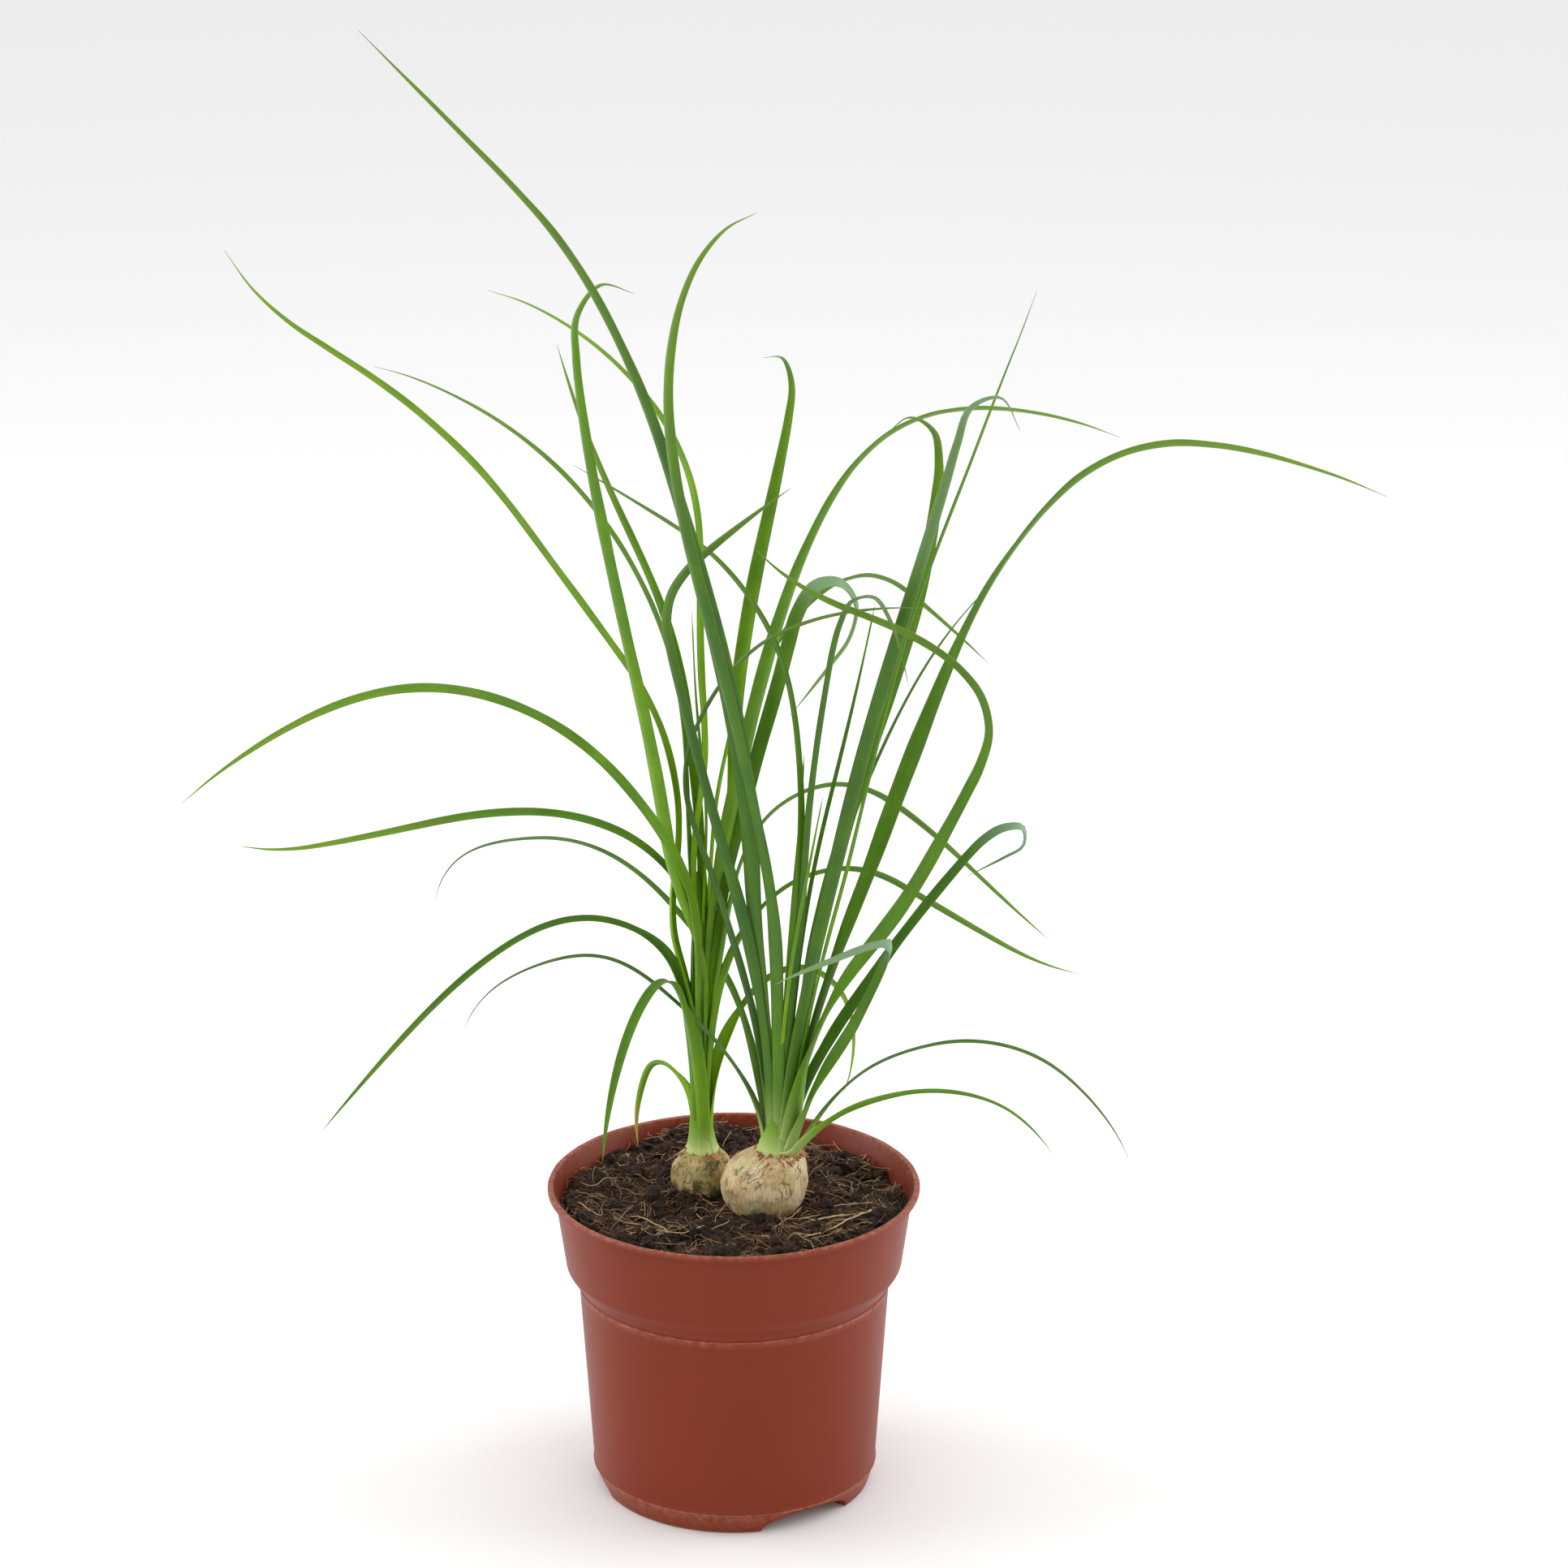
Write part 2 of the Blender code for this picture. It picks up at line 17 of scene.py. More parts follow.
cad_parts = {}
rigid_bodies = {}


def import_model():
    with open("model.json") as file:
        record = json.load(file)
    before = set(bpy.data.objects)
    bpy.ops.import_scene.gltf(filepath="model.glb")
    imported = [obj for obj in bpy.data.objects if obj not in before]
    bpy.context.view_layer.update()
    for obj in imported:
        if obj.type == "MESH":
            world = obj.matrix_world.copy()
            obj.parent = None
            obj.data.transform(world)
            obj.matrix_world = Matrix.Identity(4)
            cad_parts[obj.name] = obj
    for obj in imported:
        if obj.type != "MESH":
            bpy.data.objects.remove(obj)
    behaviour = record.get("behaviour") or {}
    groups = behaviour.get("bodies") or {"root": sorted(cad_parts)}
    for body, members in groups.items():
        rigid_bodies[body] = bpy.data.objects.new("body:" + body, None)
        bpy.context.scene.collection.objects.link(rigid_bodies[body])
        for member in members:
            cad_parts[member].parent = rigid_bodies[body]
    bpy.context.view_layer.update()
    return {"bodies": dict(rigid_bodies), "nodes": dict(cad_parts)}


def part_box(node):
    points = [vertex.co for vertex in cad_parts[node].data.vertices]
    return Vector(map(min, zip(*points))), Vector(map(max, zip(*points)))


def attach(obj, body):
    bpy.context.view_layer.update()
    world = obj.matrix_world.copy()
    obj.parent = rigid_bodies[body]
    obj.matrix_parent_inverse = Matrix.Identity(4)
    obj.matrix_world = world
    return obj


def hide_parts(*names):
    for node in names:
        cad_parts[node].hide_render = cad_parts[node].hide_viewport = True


bl_info = {
    "name": "Potted ponytail palm",
    "version": (1, 0, 0),
    "blender": (4, 5, 0),
    "location": "View3D > Sidebar > Palm",
    "description": "Builds the looks of a potted ponytail palm round its packed CAD part",
    "category": "Object",
}

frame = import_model()
MM = 0.001
SIDES = ("left", "right")


def linear(code):
    """An sRGB hex colour as linear RGB."""
    channels = [int(code[i:i + 2], 16) / 255.0 for i in (1, 3, 5)]
    return tuple(c / 12.92 if c <= 0.04045 else ((c + 0.055) / 1.055) ** 2.4 for c in channels)


def length(name, description, millimetres):
    """A length setting."""
    return FloatProperty(
        name=name, description=description, default=millimetres * MM, subtype="DISTANCE", unit="LENGTH"
    )


def colour(name, description, code):
    """A colour setting."""
    return FloatVectorProperty(
        name=name, description=description, default=linear(code), subtype="COLOR", size=3, min=0.0, max=1.0
    )


def angle(name, description, degrees):
    """An angle setting."""
    return FloatProperty(
        name=name, description=description, default=math.radians(degrees), subtype="ANGLE", unit="ROTATION"
    )


def factor(name, description, value):
    """A plain number setting."""
    return FloatProperty(name=name, description=description, default=value, min=0.0)


def whole(name, description, value):
    """A whole number setting."""
    return IntProperty(name=name, description=description, default=value, min=0)


class PalmPot(PropertyGroup):
    """Sizes and colours of the nursery pot."""

    lip_height: length("Lip height", "Height of the rolled lip", 1.8)
    lip_reach: length("Lip reach", "How far the lip stands proud of the collar", 2.2)
    lip_round: length("Lip round", "Rounding of the lip's edges", 0.55)
    mouth_flare: length("Mouth flare", "How far the mouth widens in the lip", 1.2)
    collar_depth: length("Collar depth", "From the rim to the foot of the collar", 25.5)
    collar_draft: length("Collar draft", "How far the collar narrows downwards", 3.4)
    shoulder_height: length("Shoulder height", "Height of the curve under the collar", 8.0)
    shoulder_step: length("Shoulder step", "How far the shoulder steps in", 4.2)
    foot_height: length("Foot height", "Height of the parting line above the table", 7.0)
    body_foot: length("Body foot radius", "Radius of the body at the parting line", 46.0)
    foot_draft: length("Foot draft", "How far the foot narrows", 2.0)
    wall: length("Wall", "Thickness of the wall and floor", 1.0)
    bead: length("Bead", "How far the moulded lines stand proud", 0.3)
    channel_heading: angle("Channel heading", "Heading of the first drainage channel", 63.5)
    channel_half_angle: angle("Channel half angle", "Half of each channel's spread", 22.0)
    channel_height: length("Channel height", "Height of a channel at the wall", 6.0)
    channel_start: length("Channel start", "Where the channels start from the axis", 12.0)
    drain_radius: length("Drain radius", "Radius of the drain holes", 3.0)
    drain_distance: length("Drain distance", "Drain holes from the axis", 31.0)
    plastic: colour("Plastic", "Main colour of the plastic", "#833015")
    plastic_deep: colour("Deep plastic", "Colour where the plastic is thicker", "#752911")
    # Also the colour of the painted highlight along the lip and the moulded seams
    plastic_wear_and_highlight: colour("Worn plastic", "Colour of scuffs and moulded edges", "#c98a72")


class PalmSoil(PropertyGroup):
    """Shape, litter and colours of the soil."""

    bed_height: length("Bed height", "Height of the soil in the middle", 97.6)
    edge_drop: length("Edge drop", "How much lower the soil is at the wall behind", 2.4)
    lump_height: length("Lump height", "Height of the soil's lumps", 3.2)
    crumb_count: whole("Crumbs", "Large crumbs", 1300)
    grain_count: whole("Grains", "Small crumbs", 5200)
    fibre_count: whole("Fibres", "Coir fibres", 2300)
    chip_count: whole("Bark chips", "Bark chips", 420)
    speck_count: whole("Specks", "Pale specks", 500)
    # Also the painted shade down in the crumbs' hollows
    dark: colour("Wet peat", "Darkest colour of the peat", "#100a07")
    brown: colour("Peat", "Main colour of the peat", "#38261b")
    dry: colour("Dry peat", "Colour of drier crumbs", "#6d5340")
    fibre: colour("Fibre", "Colour of the palest fibres", "#cdb183")
    fibre_dark: colour("Dark fibre", "Colour of the darkest fibres", "#4a2f1d")


class PalmBulbs(PropertyGroup):
    """Sizes and colours of the swollen stem bases."""

    left_widest: length("Left widest", "Height above the soil of the left one's widest part", 4.6)
    left_crown_height: length("Left crown height", "Height of the left crown above the soil", 13.6)
    left_crown: length("Left crown radius", "Radius of the left crown", 4.8)
    left_lean: length("Left lean", "How far the left crown leans to +X", 0.0)
    right_widest: length("Right widest", "Height above the soil of the right one's widest part", 8.2)
    right_crown_height: length("Right crown height", "Height of the right crown above the soil", 19.6)
    right_crown: length("Right crown radius", "Radius of the right crown", 6.8)
    right_lean: length("Right lean", "How far the right crown leans to +X", 4.5)
    crack_depth: length("Crack depth", "Depth of the skin's cracks", 0.3)
    skin: colour("Skin", "Dry tan skin", "#cbae79")
    skin_pale: colour("Pale skin", "Palest flakes of skin", "#e2cda2")
    skin_olive: colour("Olive skin", "Olive skin of the smaller stem", "#a1904a")
    crack: colour("Crack", "Colour down in the cracks", "#5f4427")
    sap: colour("Green skin", "Where living green shows through the skin", "#b5b67e")
    moss: colour("Moss", "Green-black algae on the skin", "#3a4219")


class PalmLeaves(PropertyGroup):
    """Sizes and colours of the leaves."""

    thickness: length("Thickness", "Thickness of a blade at its middle", 0.5)
    edge: length("Edge", "Thickness of a blade's edge", 0.14)
    cup: angle("Cup", "Half of the angle that a blade's channel turns through", 30.0)
    fold: angle("Fold", "Half of the angle that a blade's outer part folds through", 46.0)
    slimming: factor("Slimming", "Width of a blade's outer part as a share of its CAD ribbon's", 0.9)
    clasp: angle("Clasp", "The same at the base, where a leaf wraps the others", 68.0)
    step: length("Step", "Distance between rows of the mesh", 1.8)
    ripple: length("Ripple", "How far the margins ripple", 0.16)
    vein_gap: length("Vein gap", "Distance between the parallel veins", 0.55)
    young: colour("Young", "Young inner leaves", "#86b212")
    grown: colour("Grown", "Grown leaves", "#5c881a")
    old: colour("Old", "Oldest leaves", "#3c6420")
    heart: colour("Heart", "Pale flesh at the crown", "#cbd98e")
    # Also the colour of the painted sheen on bends and hooked tips
    bloom_and_sheen: colour("Bloom", "Waxy bloom on bends and undersides", "#9db8a4")
    yellow: colour("Yellowing", "Ageing ends", "#8fb032")
    dry: colour("Dry", "Dry tips", "#c29b4f")
    margin: colour("Margin", "Reddish margins", "#7b6a44")


class PalmStage(PropertyGroup):
    """Camera, floor and lights."""

    camera_y: length("Camera distance", "How far the camera stands in front", 1448.43)
    camera_x: length("Camera side", "How far the camera stands to +X", 16.16)
    camera_z: length("Camera height", "Height of the camera", 720.62)
    camera_pitch: angle("Camera pitch", "Turn of the camera up from straight down", 71.585)
    lens: FloatProperty(name="Lens", description="Focal length in mm", default=111.8, min=1.0)
    floor: colour("Floor", "Colour of the floor", "#fafafa")
    sky: factor("Sky", "Strength of the even light all round", 0.88)
    key: factor("Key", "Power in watts of the left softbox", 9.0)
    fill: factor("Fill", "Power in watts of the right softbox", 9.0)
    top: factor("Top", "Power in watts of the overhead softbox", 3.0)


# Node trees and meshes


def add_node(tree, kind, sockets=None, stops=(), **settings):
    """Add a node with its settings; a socket takes a value or another node's output."""
    made = tree.nodes.new(kind)
    for key, value in settings.items():
        setattr(made, key, value)
    for key, value in (sockets or {}).items():
        if isinstance(value, bpy.types.NodeSocket):
            tree.links.new(value, made.inputs[key])
        else:
            made.inputs[key].default_value = value
    if stops:
        ramp = made.color_ramp
        while len(ramp.elements) < len(stops):
            ramp.elements.new(0.5)
        for element, (place, shade) in zip(ramp.elements, stops):
            element.position = place
            element.color = (*shade, 1.0) if hasattr(shade, "__len__") else (shade, shade, shade, 1.0)
    return made


def new_material(name):
    """A material, its tree and its Principled shader."""
    made = bpy.data.materials.new(name)
    made.use_nodes = True
    return made, made.node_tree, made.node_tree.nodes["Principled BSDF"]


def new_tree(name, inputs):
    """An empty Geometry Nodes tree with named inputs, its input node and its output node."""
    tree = bpy.data.node_groups.new(name, "GeometryNodeTree")
    tree.interface.new_socket("Geometry", in_out="INPUT", socket_type="NodeSocketGeometry")
    tree.interface.new_socket("Geometry", in_out="OUTPUT", socket_type="NodeSocketGeometry")
    for label, kind in inputs.items():
        tree.interface.new_socket(label, in_out="INPUT", socket_type="NodeSocket" + kind)
    return tree, add_node(tree, "NodeGroupInput").outputs, add_node(tree, "NodeGroupOutput").inputs


def new_mesh(name, points, faces, attributes=None):
    """A smooth mesh from points in mm, with number attributes on its points."""
    mesh = bpy.data.meshes.new(name)
    mesh.from_pydata((np.asarray(points, float) * MM).tolist(), [], faces)
    for label, values in (attributes or {}).items():
        layer = mesh.attributes.new(label, "FLOAT", "POINT")
        layer.data.foreach_set("value", np.asarray(values, np.float32).ravel())
    mesh.shade_smooth()
    return mesh


def new_piece(name, mesh, surface=None):
    """An object for a mesh, at the origin."""
    piece = bpy.data.objects.new(name, mesh)
    bpy.context.scene.collection.objects.link(piece)
    if surface:
        mesh.materials.append(surface)
    return piece


def keep_result(piece):
    """Turn a piece's live modifiers into its plain mesh."""
    graph = bpy.context.evaluated_depsgraph_get()
    mesh = bpy.data.meshes.new_from_object(piece.evaluated_get(graph), depsgraph=graph)
    piece.modifiers.clear()
    piece.data = mesh


def settle(piece, slot, *nodes):
    """Hand a finished piece to the frame."""
    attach(piece, "root")
    if nodes:
        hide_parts(*nodes)


def scatter(name, ground, tree, values, slot):
    """Grow a tree's result on the ground mesh as a piece of its own."""
    piece = new_piece(name, ground.copy())
    modifier = piece.modifiers.new("Scatter", "NODES")
    modifier.node_group = tree
    for socket in tree.interface.items_tree:
        if socket.in_out == "INPUT" and socket.name in values:
            modifier[socket.identifier] = values[socket.name]
    keep_result(piece)
    settle(piece, slot)
    return piece


def ring_faces(rows, columns):
    """Quads between rings of points, each ring closed."""
    return [
        (a * columns + i, a * columns + (i + 1) % columns,
         (a + 1) * columns + (i + 1) % columns, (a + 1) * columns + i)
        for a in range(rows - 1) for i in range(columns)
    ]


def capped_faces(rows, columns):
    """Quads between closed rings, and fans that close both ends to the two points after them."""
    faces = ring_faces(rows, columns)
    count = rows * columns
    for i in range(columns):
        faces.append((count, (i + 1) % columns, i))
        faces.append((count + 1, count - columns + i, count - columns + (i + 1) % columns))
    return faces


def outward(mesh):
    """Turn a closed mesh's faces outwards."""
    shape = bmesh.new()
    shape.from_mesh(mesh)
    bmesh.ops.recalc_face_normals(shape, faces=shape.faces)
    if shape.calc_volume(signed=True) < 0.0:
        bmesh.ops.reverse_faces(shape, faces=shape.faces)
    shape.to_mesh(mesh)
    shape.free()
    return mesh


def turned_mesh(name, profile, steps):
    """A closed solid of revolution from (radius, height) points in mm, pole to pole."""
    headings = np.arange(steps) * 2.0 * math.pi / steps
    circle = np.stack([np.cos(headings), np.sin(headings)], 1)
    rings = [np.concatenate([circle * r, np.full((steps, 1), z)], 1) for r, z in profile[1:-1]]
    points = np.concatenate([*rings, [(0.0, 0.0, profile[0][1])], [(0.0, 0.0, profile[-1][1])]])
    return outward(new_mesh(name, points, capped_faces(len(rings), steps)))


def ease(value):
    """A smooth step from 0 to 1."""
    value = np.clip(value, 0.0, 1.0) if hasattr(value, "__len__") else min(1.0, max(0.0, value))
    return value * value * (3.0 - 2.0 * value)


def between(low, high, share):
    """Straight mix of two values."""
    return low + (high - low) * share


# Pot


def pot_size():
    """Radius and height of the rim in mm, from the CAD pot."""
    low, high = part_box("pot")
    return (high.x - low.x) / 2 / MM, high.z / MM


def outer_wall(pot):
    """The pot's outside from under the lip to the foot, as (radius, height) in mm."""
    rim, top = pot_size()
    collar_top = rim - pot.lip_reach / MM
    collar_foot = collar_top - pot.collar_draft / MM
    height = top - pot.collar_depth / MM
    bead = pot.bead / MM
    points = [(collar_top, top - pot.lip_height / MM), (collar_foot, height)]
    for i in range(1, 17):
        share = i / 16
        points.append((
            collar_foot - pot.shoulder_step / MM * ease(share),
            height - pot.shoulder_height / MM * share,
        ))
    waist_radius, waist = points[-1]
    points[-1] = (waist_radius + bead, waist + 0.25)
    points += [(waist_radius + bead, waist - 0.05), (waist_radius, waist - 0.3)]
    foot_radius, foot = pot.body_foot / MM, pot.foot_height / MM
    points += [
        (between(waist_radius, foot_radius, share), between(waist, foot, share))
        for share in np.linspace(0.04, 0.97, 14)
    ]
    points += [
        (foot_radius + 0.02, foot + 0.45), (foot_radius + bead, foot + 0.2),
        (foot_radius + bead, foot - 0.1), (foot_radius - 0.02, foot - 0.3),
    ]
    slim = foot_radius - pot.foot_draft / MM
    points += [(slim + 0.3, 1.2), (slim + 0.05, 0.45), (slim - 0.35, 0.08), (slim - 0.9, 0.0)]
    return points


def inner_wall(pot, inset):
    """The plain inside of the wall moved in by some mm, from the rim down."""
    outside = outer_wall(pot)
    wall = [(radius - inset, height) for radius, height in outside[:17]]
    return wall + [(pot.body_foot / MM - inset, pot.foot_height / MM),
                   ((pot.body_foot - pot.foot_draft) / MM - inset, inset)]


def inner_radius(wall, height):
    """Radius of the inside of the wall at a height, from the wall's (radius, height) points."""
    return float(np.interp(height, [z for _, z in wall[::-1]], [radius for radius, _ in wall[::-1]]))


def arch(name, pot, heading, grow):
    """The solid of one drainage channel, a flattened cone along its heading, grown by some mm."""
    reach, _ = pot_size()
    half_width = math.tan(pot.channel_half_angle)
    squash = pot.channel_height / ((pot.body_foot - pot.foot_draft) * half_width)
    side_grow = grow / squash ** 0.5
    steps = 48
    rings = []
    for along in (pot.channel_start / MM - grow, reach):
        radius = max(along, pot.channel_start / MM) * half_width + side_grow
        ring = []
        for i in range(steps):
            turn = 2.0 * math.pi * i / steps
            rise = radius * math.sin(turn) * squash
            rise += grow * (1.0 - squash ** 0.5) if rise > 0.0 else 0.0
            across = radius * math.cos(turn)
            ring.append((
                along * math.cos(heading) - across * math.sin(heading),
                along * math.sin(heading) + across * math.cos(heading),
                rise,
            ))
        rings.append(ring)
    faces = ring_faces(2, steps) + [tuple(range(steps)), tuple(range(2 * steps - 1, steps - 1, -1))]
    return outward(new_mesh(name, np.array(rings).reshape(-1, 3), faces))


def cut(target, mesh):
    """Take a closed mesh away from a piece."""
    cutter = new_piece(mesh.name, mesh, target.data.materials[0])
    boolean = target.modifiers.new("Cut", "BOOLEAN")
    boolean.operation = "DIFFERENCE"
    boolean.solver = "MANIFOLD"
    boolean.object = cutter
    keep_result(target)
    bpy.data.objects.remove(cutter)


def polypropylene(pot):
    """Moulded polypropylene: satin, one colour right through, with a faint flow, small scuffs, and a painted
    highlight of lighter plastic along the lip and the moulded seams.
    """
    made, tree, shader = new_material("moulded_polypropylene")
    place = add_node(tree, "ShaderNodeTexCoord").outputs["Object"]
    # Melt flow shows as broad upright clouds some 30 mm wide
    upright = add_node(tree, "ShaderNodeMapping", {"Vector": place, "Scale": (1.0, 1.0, 0.35)})
    flow = add_node(tree, "ShaderNodeTexNoise", {
        "Vector": upright.outputs["Vector"], "Scale": 1.0 / (30 * MM), "Detail": 3.0, "Roughness": 0.5})
    body = add_node(tree, "ShaderNodeMix", {
        0: flow.outputs["Fac"], 6: (*pot.plastic, 1.0), 7: (*pot.plastic_deep, 1.0)}, data_type="RGBA")
    # Scuffs are short strokes a few mm long that catch the light
    strokes = add_node(tree, "ShaderNodeMapping", {
        "Vector": place, "Scale": (1.0, 1.0, 4.0), "Rotation": (0.3, 0.2, 0.0)})
    scuff = add_node(tree, "ShaderNodeTexNoise", {
        "Vector": strokes.outputs["Vector"], "Scale": 1.0 / (7 * MM), "Detail": 6.0, "Roughness": 0.7})
    worn = add_node(tree, "ShaderNodeValToRGB", {"Fac": scuff.outputs["Fac"]},
                    stops=((0.7, 0.0), (0.85, 0.12)))
    # Lighter plastic along the lip and the moulded seams is a painted highlight, broken up by nicks; on the
    # sole it is wear
    edges = add_node(tree, "ShaderNodeAttribute", attribute_name="edge")
    nicks = add_node(tree, "ShaderNodeTexNoise", {
        "Vector": place, "Scale": 1.0 / (2.2 * MM), "Detail": 4.0, "Roughness": 0.7})
    nick = add_node(tree, "ShaderNodeValToRGB", {"Fac": nicks.outputs["Fac"]},
                    stops=((0.4, 0.15), (0.72, 0.9)))
    edge_wear_and_highlight = add_node(tree, "ShaderNodeMath", {
        0: edges.outputs["Fac"], 1: nick.outputs["Color"]}, operation="MULTIPLY")
    scuffs_and_highlight = add_node(tree, "ShaderNodeMath", {
        0: worn.outputs["Color"], 1: edge_wear_and_highlight.outputs["Value"]}, operation="MAXIMUM")
    coloured = add_node(tree, "ShaderNodeMix", {
        0: scuffs_and_highlight.outputs["Value"], 6: body.outputs[2], 7: (*pot.plastic_wear_and_highlight, 1.0)}, data_type="RGBA")
    tree.links.new(coloured.outputs[2], shader.inputs["Base Color"])
    # The mould's spark-eroded grain is near 0.4 mm
    grain = add_node(tree, "ShaderNodeTexNoise", {
        "Vector": place, "Scale": 1.0 / (0.5 * MM), "Detail": 2.0, "Roughness": 0.5})
    gloss = add_node(tree, "ShaderNodeMapRange", {
        "Value": flow.outputs["Fac"], "To Min": 0.38, "To Max": 0.48})
    tree.links.new(gloss.outputs["Result"], shader.inputs["Roughness"])
    ripple = add_node(tree, "ShaderNodeBump", {
        "Height": flow.outputs["Fac"], "Strength": 0.25, "Distance": 0.6 * MM})
    bump = add_node(tree, "ShaderNodeBump", {
        "Height": grain.outputs["Fac"], "Strength": 0.12, "Distance": 0.05 * MM,
        "Normal": ripple.outputs["Normal"]})
    tree.links.new(bump.outputs["Normal"], shader.inputs["Normal"])
    shader.inputs["Specular IOR Level"].default_value = 0.22
    return made


def mark_wear_and_highlight(mesh, pot, inner_rim):
    """Mark where each point of the pot is drawn lighter, a painted highlight on the lip and the moulded seams
    and wear on the sole, and make the lip a little uneven.
    """
    _, top = pot_size()
    lip_foot = top - pot.lip_height / MM
    foot = pot.foot_height / MM
    waist = top - (pot.collar_depth + pot.shoulder_height) / MM
    edge = mesh.attributes.new("edge", "FLOAT", "POINT")
    for point, mark in zip(mesh.vertices, edge.data):
        radius, height = math.hypot(point.co.x, point.co.y) / MM, point.co.z / MM
        # Painted highlight on the lip and the seams, wear on the sole
        on_lip = max(0.0, 1.0 - abs(height - top)) if radius > inner_rim else 0.0
        on_seam = max(0.0, 1.0 - min(abs(height - foot), abs(height - waist)) / 0.5)
        on_sole = 0.4 * max(0.0, 1.0 - height / 1.5)
        mark.value = max(0.6 * on_lip, on_seam, on_sole)
        # Flash between the mould's halves lifts the lip here and there
        if radius > inner_rim and height > lip_foot - 0.5:
            wave = noise.fractal(point.co / (9 * MM), 1.0, 2.0, 3)
            point.co.x *= 1.0 + 0.0012 * wave
            point.co.y *= 1.0 + 0.0012 * wave
            point.co.z += 0.10 * MM * wave


class PALM_OT_pot(Operator):
    """Make the moulded nursery pot"""

    bl_idname = "palm.pot"
    bl_label = "Pot"

    def execute(self, context):
        pot = context.scene.palm_pot
        rim, top = pot_size()
        wall, lip_round = pot.wall / MM, pot.lip_round / MM
        steps = 224
        lip_foot = top - pot.lip_height / MM
        corner = [(math.sin(t), math.cos(t)) for t in np.linspace(0.0, math.pi / 2, 6)]
        inner_rim = rim - (pot.lip_reach - pot.mouth_flare) / MM - wall
        lip = [(inner_rim - 0.5, top)]
        lip += [(rim - lip_round * (1 - x), top - lip_round * (1 - z)) for x, z in corner]
        lip += [(rim - lip_round * (1 - z), lip_foot + lip_round * (1 - x)) for x, z in corner]
        outside = turned_mesh("pot", [(0.0, top), *lip, *outer_wall(pot), (0.0, 0.0)], steps)
        plastic = polypropylene(pot)
        piece = new_piece("nursery_pot", outside, plastic)
        hollow = inner_wall(pot, wall)
        mouth = [(inner_rim + lip_round * (1 - x), top - lip_round * (1 - z)) for x, z in corner]
        hollow = [(0.0, top + 5.0), (inner_rim + lip_round, top + 5.0), *mouth, *hollow, (0.0, wall)]
        inside = new_piece("inside", turned_mesh("inside", hollow, steps), plastic)
        headings = [pot.channel_heading + 2.0 * math.pi * i / 3 for i in range(3)]
        for heading in headings:
            cut(piece, arch("channel", pot, heading, 0.0))
            cut(inside, arch("channel_roof", pot, heading, wall))
        cut(piece, inside.data.copy())
        bpy.data.objects.remove(inside)
        for heading in headings:
            drain = turned_mesh("drain", [(0.0, 20.0), (pot.drain_radius / MM, 20.0),
                                          (pot.drain_radius / MM, -20.0), (0.0, -20.0)], 40)
            away = pot.drain_distance
            for point in drain.vertices:
                point.co += Vector((away * math.cos(heading), away * math.sin(heading), 0.0))
            cut(piece, drain)
        mark_wear_and_highlight(piece.data, pot, inner_rim)
        piece.data.set_sharp_from_angle(angle=math.radians(38.0))
        settle(piece, "terracotta_plastic", "pot")
        return {"FINISHED"}


# Soil

# How far the soil, the fibres and the rest of the litter reach from the axis, in mm
SOIL_REACH = 55.5
FIBRE_REACH = 55.4
LITTER_REACH = 54.5
# Heaped nearly to the rim at the back and hollowed by watering in front of both stems: how far
# each swell rises, its place and its half-widths, in mm
SWELLS = (
    (7.0, -8.0, 46.0, 17.0, 11.0),
    (-2.6, -16.0, -11.0, 11.0, 8.0),
    (-3.0, 11.0, -15.0, 17.0, 9.0),
    (-1.6, 40.0, 12.0, 12.0, 16.0),
)


def soil_height(soil, x, y):
    """Height in mm of the soil bed at a place in mm."""
    radius = math.hypot(x, y)
    behind = ease((y + 30.0) / 50.0)
    drop = between(-2.2, soil.edge_drop / MM, behind)
    height = soil.bed_height / MM - drop * ease((radius - 26.0) / 28.0)
    lump = soil.lump_height / MM
    height += lump * noise.fractal(Vector((x / 13.0, y / 13.0, 3.1)), 1.0, 2.1, 3)
    height += 0.55 * lump * noise.fractal(Vector((x / 4.2, y / 4.2, 8.7)), 0.9, 2.1, 4)
    for rise, middle_x, middle_y, wide, deep in SWELLS:
        height += rise * math.exp(-(((x - middle_x) / wide) ** 2 + ((y - middle_y) / deep) ** 2))
    return height


def soil_bed(soil, pot):
    """The soil's body and, as its own mesh, the open ground that litter is scattered on."""
    steps, rings = 288, 84
    inside = inner_wall(pot, pot.wall / MM)
    headings = np.arange(steps) * 2.0 * math.pi / steps
    edge = []
    for heading in headings:
        x, y = SOIL_REACH * math.cos(heading), SOIL_REACH * math.sin(heading)
        edge.append(inner_radius(inside, soil_height(soil, x, y)) + 0.12)
    points = [(0.0, 0.0, soil_height(soil, 0.0, 0.0))]
    for ring in range(1, rings + 1):
        for heading, reach in zip(headings, edge):
            radius = reach * ring / rings
            x, y = radius * math.cos(heading), radius * math.sin(heading)
            points.append((x, y, soil_height(soil, x, y)))
    fan = [(0, 1 + i, 1 + (i + 1) % steps) for i in range(steps)]
    top = fan + [tuple(v + 1 for v in quad) for quad in ring_faces(rings, steps)]
    room = [max(0.0, min(1.0, (LITTER_REACH - math.hypot(x, y)) / 2.0)) for x, y, _ in points]
    ground = new_mesh("ground", points, top, {"room": room})
    clearance = pot.wall / MM + 0.35
    foot_radius, underside, below_top = 44.0, 9.0, 88.0
    wall = [place for place in inner_wall(pot, clearance) if underside < place[1] < below_top]
    wall.append((foot_radius, underside))
    for radius, height in wall:
        points += [(radius * math.cos(h), radius * math.sin(h), height) for h in headings]
    shell = ring_faces(rings + len(wall), steps)
    faces = fan + [tuple(v + 1 for v in quad) for quad in shell]
    faces.append(tuple(range(len(points) - steps, len(points))))
    return outward(new_mesh("soil_bed", points, faces)), ground


